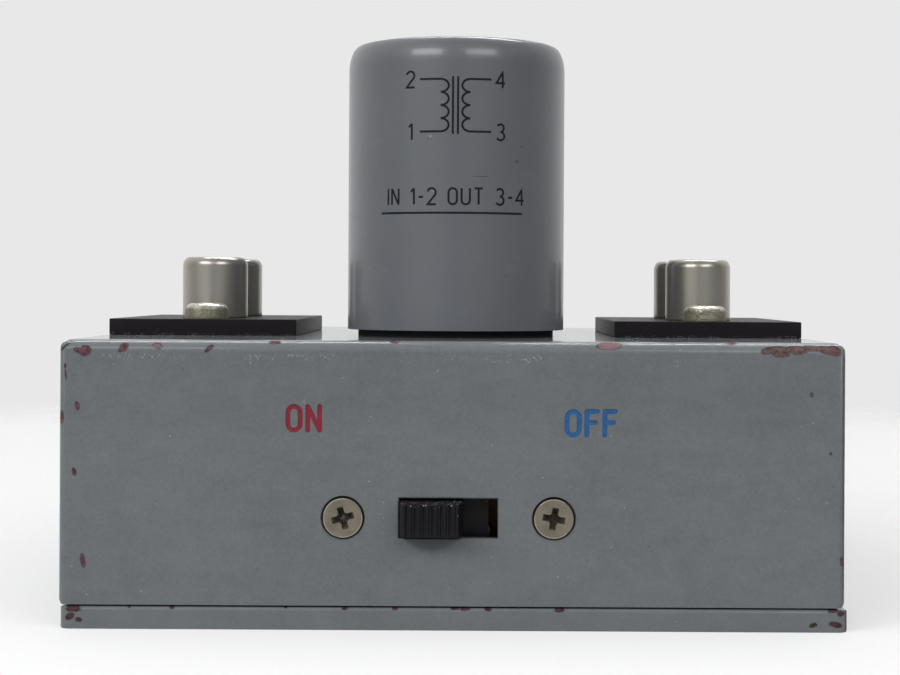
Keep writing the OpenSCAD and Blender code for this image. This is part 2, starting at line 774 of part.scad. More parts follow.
module green_leads() {
  color("green") for (y = [-1, 1])
    lead(run(from_bush(y, 1, 1), to_tag(1, y), [[0, y / 2, -0.25], [0, y * 0.75, -0.25]]));
}

// Secondary leads to the left terminals
module red_leads() {
  color("firebrick") {
    lead(run(from_bush(-1, 1, -1), to_lug(-1, 0.5), [[0.25, 0.25, -0.5], [0, 0.25, -0.25]]));
    lead(run(from_bush(1, 1, -1), to_lug(-1, -0.5), [[0, 0, -0.5], [0, 0, -0.5], [0, 0, -0.5]]));
  }
}

// Input jacks to the right terminals, past the transformers
module direct_wires() {
  color("white") {
    lead(run(turned(to_tail(-1, -1, -tail_step)), to_lug(1, 0.5),
      [[-0.75, -0.5, -1.5], [0, -0.5, -1.4], [0, -0.5, -1.1], [0.5, -0.25, -0.8]]));
    lead(run(turned(to_tail(-1, 1, -tail_step)), to_lug(1, -0.5),
      [[-0.6, 0, -2.2], [0, 0, -2.6], [0, 0, -2.2], [0, 0, -1.6]]));
  }
}

// Middle terminals to the output jacks
module output_wires() {
  color("slateblue") {
    lead(run(turned(to_lug(0, 0.5)), to_tail(1, -1, 0), [[0, 0, 0.3], [0, 0, -0.25], [0, 0, -0.6]]));
    lead(run(turned(to_lug(0, -0.5)), to_tail(1, 1, 0), [[0, 0, -0.3], [0, 0, -1], [0, 0, -1.2]]));
  }
}

case_shell();
base_plate();
base_screws();
transformer_can(-1);  // transformer_can_front
transformer_can(1);  // transformer_can_rear
can_washer(-1);  // can_washer_front
can_washer(1);  // can_washer_rear
can_disc(-1);  // can_disc_front
can_disc(1);  // can_disc_rear
mounting_bush(-1);  // mounting_bush_front
mounting_bush(1);  // mounting_bush_rear
bush_washers();
bush_nuts();
potting(-1);  // potting_front
potting(1);  // potting_rear
core(-1);  // core_front
core(1);  // core_rear
bobbin(-1);  // bobbin_front
bobbin(1);  // bobbin_rear
secondary(-1);  // secondary_front
secondary(1);  // secondary_rear
primary(-1);  // primary_front
primary(1);  // primary_rear
jack_plate(-1);  // jack_plate_left
jack_plate(1);  // jack_plate_right
plate_screws();
plate_nuts();
jack_shell(-1, -1);  // jack_shell_left_front
jack_shell(-1, 1);  // jack_shell_left_rear
jack_shell(1, -1);  // jack_shell_right_front
jack_shell(1, 1);  // jack_shell_right_rear
jack_insulator(-1, -1);  // jack_insulator_left_front
jack_insulator(-1, 1);  // jack_insulator_left_rear
jack_insulator(1, -1);  // jack_insulator_right_front
jack_insulator(1, 1);  // jack_insulator_right_rear
jack_contact(-1, -1);  // jack_contact_left_front
jack_contact(-1, 1);  // jack_contact_left_rear
jack_contact(1, -1);  // jack_contact_right_front
jack_contact(1, 1);  // jack_contact_right_rear
ground_tags();
switch_frame();
switch_slider();
contact_bridges();
terminal_board();
switch_terminals();
switch_screws();
yellow_leads();
black_leads();
green_leads();
red_leads();
direct_wires();
output_wires();
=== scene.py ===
"""Looks of a moving coil step-up transformer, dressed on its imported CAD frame."""

import json
import math

import bmesh
import bpy
from mathutils import Matrix, Vector


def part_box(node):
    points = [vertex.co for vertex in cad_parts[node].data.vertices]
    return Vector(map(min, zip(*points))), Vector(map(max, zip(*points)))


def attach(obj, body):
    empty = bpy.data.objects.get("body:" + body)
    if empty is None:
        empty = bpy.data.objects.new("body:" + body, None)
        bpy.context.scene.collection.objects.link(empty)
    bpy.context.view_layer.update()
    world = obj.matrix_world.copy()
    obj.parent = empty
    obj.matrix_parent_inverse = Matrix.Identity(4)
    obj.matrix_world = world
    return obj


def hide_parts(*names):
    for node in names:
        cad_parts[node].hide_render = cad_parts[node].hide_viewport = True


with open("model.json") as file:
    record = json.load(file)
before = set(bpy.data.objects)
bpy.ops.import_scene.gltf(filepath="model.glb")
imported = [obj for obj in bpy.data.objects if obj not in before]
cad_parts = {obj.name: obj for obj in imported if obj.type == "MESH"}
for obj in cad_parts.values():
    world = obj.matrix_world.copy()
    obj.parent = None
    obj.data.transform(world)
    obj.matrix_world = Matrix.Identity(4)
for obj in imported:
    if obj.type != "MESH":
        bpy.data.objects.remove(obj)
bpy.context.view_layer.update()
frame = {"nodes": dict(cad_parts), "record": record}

bl_info = {
    "name": "Step-up transformer looks",
    "version": (1, 0, 0),
    "blender": (4, 5, 0),
    "location": "View3D > Sidebar > Step-up",
    "description": "Dresses the CAD model of a moving coil step-up transformer",
    "category": "Object",
}

NODES = frame["nodes"]
SLOT_OF = {part["node"]: part["material_slot"] for part in frame["record"]["subparts"]}
MM = 0.001
FRONT_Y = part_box("case_shell")[0].y
PLATE_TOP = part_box("jack_plate_left")[1].z
# In millimetres: the front, the heights where dust lies on the knob and the plates, the switch screws' seats
FACE = FRONT_Y / MM
KNOB_LEDGE = sum(corner.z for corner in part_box("switch_slider")) / 2 / MM + 1.82
PLATE_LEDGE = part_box("jack_plate_left")[0].z / MM + 0.1
SEAT_RADIUS = 2.35
SEAT_HEIGHT = 12.5
SEATS = [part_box("switch_screws")[k].x / MM + side * SEAT_RADIUS for k, side in ((0, 1), (1, -1))]
# In metres: the camera, the lamps and the floor
CAMERA_PLACE = (0.00283, -0.24864, 0.03792)
LAMP_SIZE = (0.46, 0.2)
LAMP_AIM = Vector((0, 0, 0.03))
FLOOR_RADIUS = 0.5
# In millimetres: where the floor fades out
FLOOR_FADE = (280.0, 430.0)
# In widths of the picture
CAMERA_SHIFT = (-0.03164, -0.05153)


def linear(code):
    """Linear colour of a six-digit display colour."""
    parts = [int(code[i : i + 2], 16) / 255 for i in (0, 2, 4)]
    return tuple(p / 12.92 if p <= 0.04045 else ((p + 0.055) / 1.055) ** 2.4 for p in parts)


def shade(tone, k):
    """Colour made darker or lighter."""
    return tuple(min(1.0, c * k) for c in tone)


def mm(*lengths):
    """Lengths in millimetres."""
    return [v / MM for v in lengths]


def colour(name, description, code):
    """Colour property."""
    return bpy.props.FloatVectorProperty(
        name=name, description=description, default=linear(code), subtype="COLOR", size=3, min=0, max=1
    )


def number(name, description, default, **more):
    """Property of one number."""
    return bpy.props.FloatProperty(name=name, description=description, default=default, **more)


def length(name, description, millimetres):
    """Length property, given in millimetres and kept in metres."""
    return number(name, description, millimetres * MM, unit="LENGTH", precision=5, min=0)


def angle(name, description, degrees):
    """Angle property, given in degrees."""
    return number(name, description, math.radians(degrees), unit="ROTATION")


def power(name, description, watts):
    """Lamp power property."""
    return number(name, description, watts, unit="POWER", min=0)


def share(name, description, value):
    """Property between nothing and all."""
    return number(name, description, value, subtype="FACTOR", min=0, max=1)


class StepUpPaint(bpy.types.PropertyGroup):
    """Paint of the case, the base plate and the cans."""

    case: colour("Case", "Grey enamel of the case and its base plate", "666b6e")
    can: colour("Can", "Grey enamel of the shield cans", "5f6267")
    primer: colour("Primer", "Red-brown primer that shows in the chips", "673f44")
    rust: colour("Rust", "Darker brown in the larger chips", "3b2828")
    pale: colour("Pale primer", "Lighter spots in the chips", "a08488")
    dust: colour("Dust", "Light dust in the paint", "a9acae")
    gloss: share("Roughness", "Roughness of the enamel", 0.46)
    lacquer: share("Lacquer", "Strength of the glossier skin of the enamel", 0.9)
    film: length("Film", "Thickness of the paint at the edge of a chip", 0.08)
    can_rim: length("Can rim", "How far a can's rim curves in", 1.35)
    can_rim_drop: length("Can rim drop", "How far below its top a can's rim starts to curve", 3.1)
    can_wall: length("Can wall", "Thickness of a can", 0.8)


class StepUpWords(bpy.types.PropertyGroup):
    """Engraved words over the switch."""

    cap: length("Cap height", "Height of the engraved letters", 3.2)
    stroke: length("Stroke", "Width of the engraving cutter", 0.56)
    sunk: length("Sunk", "How far the filling lies below the paint", 0.11)
    gap: length("Letter gap", "Space between two letters", 0.85)
    red: colour("Red", "Filling of the left word", "840f28")
    blue: colour("Blue", "Filling of the right word", "155d99")


class StepUpPrint(bpy.types.PropertyGroup):
    """Print on the front can."""

    ink: colour("Ink", "Ink of the print", "0f1013")
    cap: length("Cap height", "Height of the printed figures", 1.9)
    line: length("Line", "Width of the printed lines", 0.25)
    film: length("Film", "Thickness of the ink", 0.012)


class StepUpMetals(bpy.types.PropertyGroup):
    """Plating, screws and black pieces."""

    nickel: colour("Nickel", "Plating of the jacks", "bab6b0")
    tarnish: colour("Tarnish", "Tarnish on the jacks and screws", "5d5a4e")
    screw: colour("Screw", "Plating of the switch screws", "847c6f")
    laminate: colour("Laminate", "Black plates under the jacks", "120d11")
    knob: colour("Knob", "Moulded switch knob", "0a070c")
    broken_edge: length("Plate edge", "Rounding of the plates' cut edges", 0.12)
    shell: length("Shell", "Diameter of a jack's shell", 8.3)
    shell_wall: length("Shell wall", "Thickness of a jack's shell", 0.55)
    mouth: length("Mouth", "Opening of a jack's shell", 5.8)
    neck: length("Neck", "Diameter of a jack's neck", 6.4)
    collar: length("Collar", "Diameter of the rolled end of a jack's neck", 7.6)
    pan_head: length("Pan head", "Diameter of the plate screws' heads", 5.5)
    pan_shank: length("Shank", "Diameter of the plate and base screws", 3.0)
    seat_gap: length("Seat gap", "Gap round the switch screws' heads", 0.12)
    switch_head: length("Switch screw head", "Diameter of the switch screws' heads", 4.7)
    switch_shank: length("Switch screw", "Diameter of the switch screws", 2.6)
    base_head: length("Base screw head", "Diameter of the base screws' heads", 5.6)
    left_turn: angle("Left turn", "Turn of the left switch screw's recess", 16.0)
    right_turn: angle("Right turn", "Turn of the right switch screw's recess", -10.0)


class StepUpSwitch(bpy.types.PropertyGroup):
    """Switch knob and its slot."""

    knob_width: length("Knob width", "Width of the knob at its foot", 7.1)
    knob_height: length("Knob height", "Height of the knob at its foot", 4.01)
    knob_draft: length("Draft", "How much the knob narrows on each side", 0.45)
    knob_edge: length("Knob edge", "Rounding of the knob's edges", 0.07)
    carrier: length("Carrier", "Thickness of the carrier behind the knob", 3.4)
    groove: length("Groove", "Half the width of a finger groove", 0.4)
    groove_depth: length("Groove depth", "Depth of a finger groove", 0.25)
    groove_pitch: length("Groove pitch", "Spacing of the finger grooves", 0.96)
    slot_width: length("Slot width", "Width of the slot in the case", 11.05)
    slot_height: length("Slot height", "Height of the slot in the case", 4.45)
    slot_edge: length("Slot edge", "Chamfer round the slot", 0.13)
    grooves: bpy.props.IntProperty(name="Grooves", description="Number of finger grooves", default=6, min=1)


class StepUpStage(bpy.types.PropertyGroup):
    """Camera, lamps and floor."""

    floor: colour("Floor", "Plain floor", "f4f4f4")
    back: colour("Background", "Pale background", "e8e8e8")
    left_power: power("Left lamp", "Power of the left lamp", 2.05)
    side_power: power("Side lamp", "Power of the lamp far round on the left", 2.4)
    right_power: power("Right lamp", "Power of the right lamp", 1.5)
    far_power: power("Far lamp", "Power of the lamp far round on the right", 1.1)
    left_angle: angle("Left angle", "How far round the left lamp stands", -32.0)
    side_angle: angle("Side angle", "How far round the side lamp stands", -58.0)
    right_angle: angle("Right angle", "How far round the right lamp stands", 27.0)
    far_angle: angle("Far angle", "How far round the far lamp stands", 62.0)
    lamp_rise: angle("Rise", "How high the lamps stand over the object", 30.0)
    lamp_distance: length("Lamp distance", "Distance of the lamps", 900.0)
    room: share("Room light", "Strength of the light that comes from all round", 0.05)
    ceiling: share("Ceiling light", "What the ceiling adds to that", 0.88)
    walls: share("Side walls", "What the walls on both sides add to that", 0.4)
    strip: number("Ceiling lamp", "How bright the ceiling lamp is in glossy edges", 50.0, min=0)
    dim: share("Dim side", "How bright the room behind the camera is in mirrors", 0.34)
    lens: number("Lens", "Focal length of the camera", 74.38, unit="CAMERA", min=1)
    roll: angle("Roll", "Sideways tilt of the camera", -0.318)


def maths(operation, reflected=False):
    """Method that adds a Math node."""

    def apply(self, *others):
        terms = (*others, self) if reflected else (self, *others)
        return self.finish.node("ShaderNodeMath", {"operation": operation}, dict(enumerate(terms)))

    return apply


class Field:
    """Value that changes over a surface. Python's operators on it add the Math nodes."""

    def __init__(self, finish, socket):
        self.finish = finish
        self.socket = socket

    __add__ = maths("ADD")
    __radd__ = maths("ADD", True)
    __sub__ = maths("SUBTRACT")
    __rsub__ = maths("SUBTRACT", True)
    __mul__ = maths("MULTIPLY")
    __rmul__ = maths("MULTIPLY", True)
    __abs__ = maths("ABSOLUTE")
    least = maths("MINIMUM")
    most = maths("MAXIMUM")
    sine = maths("SINE")


class Finish:
    """Node tree of one material, built from fields."""

    def __init__(self, name, tree=None):
        if tree is None:
            self.material = bpy.data.materials.new(name)
            self.material.use_nodes = True
            tree = self.material.node_tree
        self.tree = tree
        tree.nodes.clear()

    def node(self, kind, settings=None, sockets=None, out=0):
        """Adds a node, sets it up, fills or links its sockets and returns one output."""
        made = self.tree.nodes.new(kind)
        for key, value in (settings or {}).items():
            setattr(made, key, value)
        for key, value in (sockets or {}).items():
            socket = made.inputs[key]
            if isinstance(value, Field):
                self.tree.links.new(value.socket, socket)
            else:
                socket.default_value = (*value, 1.0) if socket.type == "RGBA" else value
        return Field(self, made.outputs[out]) if made.outputs else None

    def vector(self, operation, *terms, out=0):
        """Vector or length worked out from vectors."""
        return self.node("ShaderNodeVectorMath", {"operation": operation}, dict(enumerate(terms)), out)

    def place(self):
        """Place on the object in millimetres."""
        here = self.node("ShaderNodeTexCoord", out="Object")
        return self.node("ShaderNodeVectorMath", {"operation": "SCALE"}, {0: here, "Scale": 1 / MM})

    def axes(self, vector):
        """Three fields of a vector."""
        split = self.node("ShaderNodeSeparateXYZ", None, {0: vector})
        return [Field(self, s) for s in split.socket.node.outputs]

    def rays(self):
        """Camera rays, and all the rays that see the background."""
        ways = self.node("ShaderNodeLightPath").socket.node.outputs
        names = ("Is Camera Ray", "Is Glossy Ray", "Is Transmission Ray")
        camera, glossy, clear = (Field(self, ways[name]) for name in names)
        return camera, camera.most(glossy.most(clear))

    def stretch(self, vector, scale):
        """Vector multiplied axis by axis."""
        return self.vector("MULTIPLY", vector, scale)

    def noise(self, vector, size, detail=2.0, distortion=0.0, out=0):
        """Cloudy noise from 0 to 1 with lumps of about that size, in millimetres."""
        sockets = {"Vector": vector, "Scale": 1 / size, "Detail": detail, "Distortion": distortion}
        return self.node("ShaderNodeTexNoise", None, sockets, out)

    def cells(self, vector, size, out="Distance"):
        """Scattered points: the distance to the nearest, in cells, or its own colour."""
        return self.node("ShaderNodeTexVoronoi", None, {"Vector": vector, "Scale": 1 / size}, out)

    def step(self, value, low, high):
        """Soft step from 0 at low to 1 at high."""
        ends = {0: value, 1: low, 2: high}
        return self.node("ShaderNodeMapRange", {"interpolation_type": "SMOOTHSTEP"}, ends)

    def mix(self, factor, a, b):
        """Colour between a and b."""
        return self.node("ShaderNodeMix", {"data_type": "RGBA"}, {0: factor, 6: a, 7: b}, 2)

    def bump(self, height, depth):
        """Normal of a surface whose height goes from 0 to that depth, in metres."""
        return self.node("ShaderNodeBump", None, {"Height": height, "Distance": depth})

    def specks(self, vector, size, radius, amount):
        """Sparse specks on a share of the scattered points."""
        tint = self.axes(self.cells(vector, size, "Color"))[0]
        spot = self.step(self.cells(vector, size), radius, radius * 0.6)
        return spot * self.step(tint, 1 - amount, 1.02 - amount)

    def warp(self, vector, size, reach):
        """Vector shaken by noise of that size, so that outlines drawn on it turn ragged."""
        shake = self.vector("SUBTRACT", self.noise(vector, size, 3.0, out="Color"), (0.5, 0.5, 0.5))
        return self.vector("ADD", vector, self.stretch(shake, (reach,) * 3))

    def ovals(self, vector, marks):
        """Distance to the nearest of some ovals, with 1 at its edge. Each is its middle and half sizes in
        millimetres, and its tilt in degrees."""
        nearest = None
        for middle, half, tilt in marks:
            turn = (0, -math.radians(tilt), 0)
            sockets = {"Vector": vector, "Location": middle, "Rotation": turn, "Scale": half}
            near = self.node("ShaderNodeMapping", {"vector_type": "TEXTURE"}, sockets)
            away = self.vector("LENGTH", near, out=1)
            nearest = away if nearest is None else nearest.least(away)
        return nearest

    def surface(self, sockets):
        """Ends the material in a principled shader."""
        shader = self.node("ShaderNodeBsdfPrincipled", None, sockets)
        self.node("ShaderNodeOutputMaterial", None, {"Surface": shader})
        return self.material


# Chips in the paint of the front: place across and up, half sizes, all in millimetres, and tilt in degrees
CASE_CHIPS = (
    (-41.05, 31.0, 0.62, 0.5, 12), (-41.75, 31.05, 0.55, 0.27, -14), (-36.8, 31.35, 0.56, 0.32, 36),
    (-33.0, 31.6, 0.5, 0.25, -8), (-32.75, 31.45, 0.2, 0.25, 0), (-27.2, 31.3, 0.52, 0.2, 36),
    (-19.9, 32.05, 0.7, 0.2, 0), (-6.5, 32.15, 0.5, 0.16, 0), (17.5, 31.9, 1.25, 0.4, 3),
    (31.3, 32.25, 0.65, 0.18, 0), (35.3, 31.4, 0.8, 0.3, 8), (36.5, 31.35, 0.95, 0.5, -6),
    (36.75, 30.98, 0.75, 0.28, 4), (38.4, 31.52, 1.1, 0.36, -2), (38.65, 31.3, 0.6, 0.28, 10),
    (40.3, 31.66, 1.2, 0.27, -3), (41.6, 31.5, 0.9, 0.34, -16), (42.65, 31.45, 0.72, 0.48, -22),
    (-41.9, 24.85, 0.24, 0.42, 14), (-43.7, 23.6, 0.3, 0.66, 0), (-42.2, 17.5, 0.25, 0.36, 8),
    (-41.2, 7.6, 0.26, 0.7, 10), (40.1, 26.5, 0.22, 0.2, 0), (42.3, 19.9, 0.14, 0.14, 0),
    (43.7, 7.9, 0.3, 0.42, 0), (-43.2, 28.4, 0.09, 0.55, 4), (-43.25, 29.3, 0.12, 0.2, 0),
    (-43.35, 31.4, 0.6, 0.07, 42),
)
BASE_CHIPS = (
    (-42.2, 2.2, 0.75, 0.3, 0), (-42.6, 1.35, 0.5, 0.3, 20), (-41.6, 0.95, 0.35, 0.2, 0),
    (-31.2, 2.42, 0.24, 0.16, 0), (-36.0, 2.45, 0.16, 0.1, 0), (-18.5, 2.45, 0.16, 0.1, 0),
    (-11.9, 2.42, 0.3, 0.18, 0), (-6.3, 2.42, 0.3, 0.17, 0), (0.4, 2.45, 0.4, 0.13, 0),
    (1.5, 2.42, 0.5, 0.16, 0), (4.1, 2.42, 0.34, 0.18, 0), (12.1, 2.38, 0.52, 0.24, 0),
    (42.6, 2.35, 0.5, 0.16, 0), (43.5, 2.1, 0.4, 0.25, 0), (42.9, 0.85, 0.7, 0.25, -10),
    (40.4, 0.8, 0.4, 0.2, 15),
)
# Chips that are fresh and still pale
PALE_CHIPS = ((17.5, 31.9, 1.25, 0.4, 3), (-33.0, 31.6, 0.5, 0.25, -8))
# Dark specks in the paint of the front, given in the same way
CASE_SPECKS = (
    (38.05, 27.25, 0.09, 0.09, 0), (-30.1, 29.0, 0.07, 0.07, 0), (-12.5, 5.0, 0.06, 0.06, 0),
    (22.0, 9.5, 0.07, 0.07, 0), (5.0, 27.6, 0.06, 0.06, 0),
)
# How far a chip reaches round an edge, and the way from the painted shadow above a chip to the chip itself
CHIP_REACH = 1.7
CHIP_SHADOW_SHIFT = (0.03, 0, -0.13)
# On the front: where its right corner is rubbed, how high it is scuffed, and from where its chips are brown
RUBBED_BELOW = (31.4, 30.5)
SCUFF_HEIGHT = 30.35
BROWN_FROM = (33.0, 34.0)
# Marks on the front can: place round and up from its foot, and half sizes
CAN_SPECKS = ((8.4, 22.0, 0.12, 0.12), (7.75, 20.2, 0.2, 0.17), (3.1, 18.3, 1.0, 0.045))
CAN_SPOTS = ((-2.5, 16.6, 0.3, 0.22), (-3.0, 23.0, 0.25, 0.2), (-1.5, 27.1, 0.15, 0.15))


def front_marks(marks):
    """Ovals on the front from places across and up, half sizes and tilts."""
    return [((x, FACE, z), (rx, CHIP_REACH, rz), tilt) for x, z, rx, rz, tilt in marks]


def can_marks(marks):
    """Ovals on the front can's wall from places round it and up from its foot."""
    low, high = (mm(*corner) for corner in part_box("transformer_can_front"))
    radius = (high[0] - low[0]) / 2
    made = []
    for around, up, wide, tall in marks:
        turn = around / radius
        place = (radius * math.sin(turn), low[1] + radius * (1 - math.cos(turn)), low[2] + up)
        made.append((place, (wide, 0.8, tall), 0))
    return made


def box_edge(place, low, high):
    """Distance to the nearest edge of a box: the middle one of the distances to its sides."""
    x, y, z = place
    dx, dy = ((b - a) / 2 - abs(v - (b + a) / 2) for v, a, b in zip((x, y), low, high))
    dz = high[2] - z
    return dx + dy + dz - dx.least(dy).least(dz) - dx.most(dy).most(dz)


def enamel(name, node, chips, paint, front=True):
    """Chipped grey enamel of the case or its base plate."""
    f = Finish(name)
    p = f.place()
    x, y, z = f.axes(p)
    tone = paint.case
    low, high = (mm(*corner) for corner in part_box(node))
    behind = f.step(y, FACE + 1.5, FACE + 3.5)

    # Where the paint is gone: the chips, worn edges behind the front, and a rubbed corner at the right
    flake = (f.axes(f.cells(p, 0.3, "Color"))[0] - 0.5) * 0.12
    shaken = f.warp(p, 0.7, 0.24)
    outlines = front_marks(chips)
    nearest = f.ovals(shaken, outlines) + flake
    chip = f.step(nearest, 1.03, 0.95)
    # Painted shadow: the chips' outlines moved up, so that a dark band lies just above each chip
    lip = f.step(f.ovals(f.vector("ADD", shaken, CHIP_SHADOW_SHIFT), outlines) + flake, 1.1, 0.95)
    edge = box_edge((x, y, z), low, high)
    worn = f.step(edge + (f.noise(p, 2.6, 3.0) - 0.5) * 5.2, -0.25, -0.5) * behind
    corner = f.step(x, high[0] - 0.5, high[0] - 0.22) * f.step(z, *RUBBED_BELOW)
    corner = corner * f.step(y, FACE + 0.9, FACE + 0.4)
    rubbed = corner * f.step(f.noise(f.stretch(p, (1, 1, 0.3)), 0.9), 0.25, 0.45)
    bare = chip.most(worn).most(rubbed * 0.8)

    # The paint itself, with its dust, grit and dirt, and painted shade in the screw seats and round the chips
    cloud = f.noise(p, 13.0, 3.0)
    mottle = f.noise(p, 1.9, 3.0)
    grain = f.noise(p, 0.3)
    wipe = f.noise(f.stretch(p, (0.25, 0.25, 1.0)), 1.6, 3.0)
    dust = f.specks(p, 1.5, 0.06, 0.3)
    grit = f.specks(f.stretch(p, (1.13, 1.07, 1.19)), 2.6, 0.04, 0.3)
    blend = cloud * 0.5 + mottle * 0.4 + grain * 0.65 + wipe * 0.35 - 0.45
    coat = f.mix(blend, shade(tone, 0.74), shade(tone, 1.26))
    if front:
        scuff = f.step(abs(z - SCUFF_HEIGHT + (wipe - 0.5) * 1.2), 0.6, 0.1)
        scuff = scuff * f.step(f.noise(p, 0.28, 3.0), 0.55, 0.68)
        scuff = scuff * f.step(f.noise(f.stretch(p, (1, 1, 0)), 9.0), 0.42, 0.62) * (1.0 - behind)
        coat = f.mix(scuff * 0.65, coat, paint.dust)
        grit = grit.most(f.step(f.ovals(p, front_marks(CASE_SPECKS)), 1.1, 0.8) * 1.3)
        # Dirt and painted shade in the seats of the switch screws, darkest in the gap round their heads, and
        # the ring that a driver left round them
        around = f.ovals(p, [((cx, FACE, SEAT_HEIGHT), (1, 9, 1), 0) for cx in SEATS])
        seat = f.step(around + (grain - 0.5) * 0.12, SEAT_RADIUS + 0.12, SEAT_RADIUS + 0.02)
        coat = f.mix(seat * 0.8, coat, linear("1c1b1b"))
        ring = f.step(abs(around - SEAT_RADIUS - 0.26 + (mottle - 0.5) * 0.1), 0.06, 0.02)
        coat = f.mix(ring * f.step(wipe, 0.4, 0.6) * 0.5, coat, shade(tone, 0.55))
    coat = f.mix(dust * 0.75, coat, paint.dust)
    coat = f.mix((grit * 0.7).least(1.0), coat, shade(tone, 0.35))
    # Painted shadow of the paint's broken edge: a dark band above each chip and a thin dark outline round it
    rim = lip.most(f.step(nearest, 1.34, 1.12) * 0.7) - chip
    coat = f.mix(rim.most(0.0) * 0.95, coat, shade(tone, 0.14))

    # What shows under it
    under = f.mix(f.step(f.noise(p, 0.7, 3.0), 0.42, 0.6), paint.primer, paint.rust)
    spots = f.step(f.noise(f.stretch(p, (1, 1, 1.7)), 0.42, 3.0), 0.6, 0.72)
    under = f.mix(spots * 0.35, under, paint.pale)
    if front:
        fresh = f.step(f.ovals(p, front_marks(PALE_CHIPS)), 1.5, 1.2)
        under = f.mix(fresh * 0.4, under, paint.pale)
        right = f.step(x, *BROWN_FROM)
        under = f.mix(right * f.step(mottle, 0.35, 0.55) * 0.55, under, linear("675a50"))
        deep = f.step(f.noise(p, 0.5, 3.0), 0.5, 0.62)
        under = f.mix(right * deep * 0.5, under, shade(paint.rust, 0.5))
    else:
        under = f.mix(0.6, under, shade(paint.rust, 0.6))
    height = grain * 0.08 + mottle * 0.07 - bare + bare * f.noise(p, 0.35, 3.0) * 0.8
    return f.surface({
        "Base Color": f.mix(bare, coat, under),
        "Roughness": paint.gloss + grain * 0.1 + cloud * 0.06 + bare * 0.25,
        "Specular IOR Level": 0.35,
        "Coat Weight": paint.lacquer * (1.0 - bare),
        "Coat Roughness": 0.07,
        "Coat IOR": 1.25,
        "Normal": f.bump(height, paint.film),
    })


def can_enamel(name, paint):
    """Smoother enamel of the shield cans, with the marks of the front one."""
    f = Finish(name)
    p = f.place()
    cloud = f.noise(p, 9.0, 3.0)
    mottle = f.noise(f.stretch(p, (1, 1, 0.7)), 2.2, 3.0)
    grain = f.noise(p, 0.28)
    dust = f.specks(p, 2.0, 0.045, 0.3)
    grit = f.specks(f.stretch(p, (1.1, 1.1, 1.25)), 3.4, 0.04, 0.25)
    smear = f.step(f.noise(f.stretch(p, (0.4, 0.4, 1.0)), 3.0, 4.0, 1.5), 0.6, 0.75)
    marked = f.warp(p, 0.4, 0.16)
    grit = grit.most(f.step(f.ovals(marked, can_marks(CAN_SPECKS)), 1.1, 0.85))
    spots = f.step(f.ovals(marked, can_marks(CAN_SPOTS)), 1.15, 0.7)
    blend = cloud * 0.3 + mottle * 0.2 + grain * 0.34 + smear * 0.16
    coat = f.mix(blend, shade(paint.can, 0.78), shade(paint.can, 1.24))
    coat = f.mix((dust * 0.6).most(spots * 0.22), coat, paint.dust)
    height = grain * 0.1 + mottle * 0.12 - grit * 0.5 + spots * 0.3
    return f.surface({
        "Base Color": f.mix(grit * 0.75, coat, shade(paint.can, 0.35)),
        "Roughness": 0.34 + grain * 0.08 + smear * 0.08,
        "Coat Weight": (0.5 - smear * 0.1) * (1.0 - grit),
        "Coat Roughness": 0.14,
        "Normal": f.bump(height, paint.film),
    })


def satin(name, bright, tarnish):
    """Satin nickel of the jacks: drawn upright, finely scratched, and browned with tarnish and painted shade
    in the foot's corner.
    """
    f = Finish(name)
    p = f.place()
    foot = PLATE_TOP / MM
    drawn = f.noise(f.stretch(p, (1, 1, 0.05)), 0.3)
    cloud = f.noise(f.stretch(p, (1, 1, 0.35)), 3.2)
    grain = f.noise(p, 0.1)
    pits = f.specks(p, 0.8, 0.05, 0.3)
    # Tarnish and painted shade: the foot of each shell, where it meets the plate, is darker, duller and
    # rougher
    dull = f.step(f.axes(p)[2] + (cloud - 0.5) * 0.8, foot + 0.55, foot + 0.05)
    haze = f.step(f.noise(f.stretch(p, (1, 1, 0.5)), 1.7), 0.38, 0.62)
    olive = [c * k for c, k in zip(bright, (0.97, 0.99, 0.92))]
    tone = f.mix(cloud * 0.25 + drawn * 0.1, f.mix(haze, olive, bright), tarnish)
    return f.surface({
        "Base Color": f.mix((dull * 0.8).most(pits * 0.5), tone, shade(tarnish, 0.3)),
        "Metallic": 0.82 - dull * 0.4,
        "Roughness": 0.23 + drawn * 0.05 + cloud * 0.08 + dull * 0.25,
        "Normal": f.bump(drawn * 0.1 + grain * 0.12 - pits * 0.4, 0.02 * MM),
    })


def plated(name, bright, tarnish, dull, roughness, pitted=0.3, sunk=None, highlight_rims=None):
    """Plated metal with clouds of tarnish and fine pits. A sunk axis and level say where a recess holds
    dirt, and ovals where a painted highlight runs round a rim."""
    f = Finish(name)
    p = f.place()
    cloud = f.noise(p, 2.4, 4.0)
    grain = f.noise(p, 0.12)
    pits = f.specks(p, 0.55, 0.12, 0.35)
    spoilt = f.step(cloud + grain * 0.25, 0.5, 0.82)
    tone = f.mix(spoilt * dull, bright, tarnish)
    tone = f.mix(pits * pitted, tone, shade(tarnish, 0.4))
    dirt = 0.0
    # Painted highlight: a thin bright line along each rim oval, where the cloud allows
    if highlight_rims:
        bare = f.step(abs(f.ovals(p, highlight_rims) - 1.0), 0.04, 0.015) * f.step(cloud, 0.4, 0.5)
        tone = f.mix(bare * 0.8, tone, shade(bright, 1.9))
    if sunk:
        axis, level = sunk
        deep = f.axes(p)[axis] + (f.noise(p, 0.4) - 0.5) * 0.25
        dirt = f.step(deep, level + 0.06, level + 0.3) * f.step(f.noise(p, 0.6), 0.72, 0.6)
        tone = f.mix(dirt * 0.85, tone, linear("221d19"))
    return f.surface({
        "Base Color": tone,
        "Metallic": (1.0 - spoilt * dull * 0.35) * (1.0 - dirt * 0.8),
        "Roughness": roughness + grain * 0.16 + spoilt * 0.14 + dirt * 0.2,
        "Normal": f.bump(grain * 0.3 + cloud * 0.3 - pits * pitted, 0.03 * MM),
    })


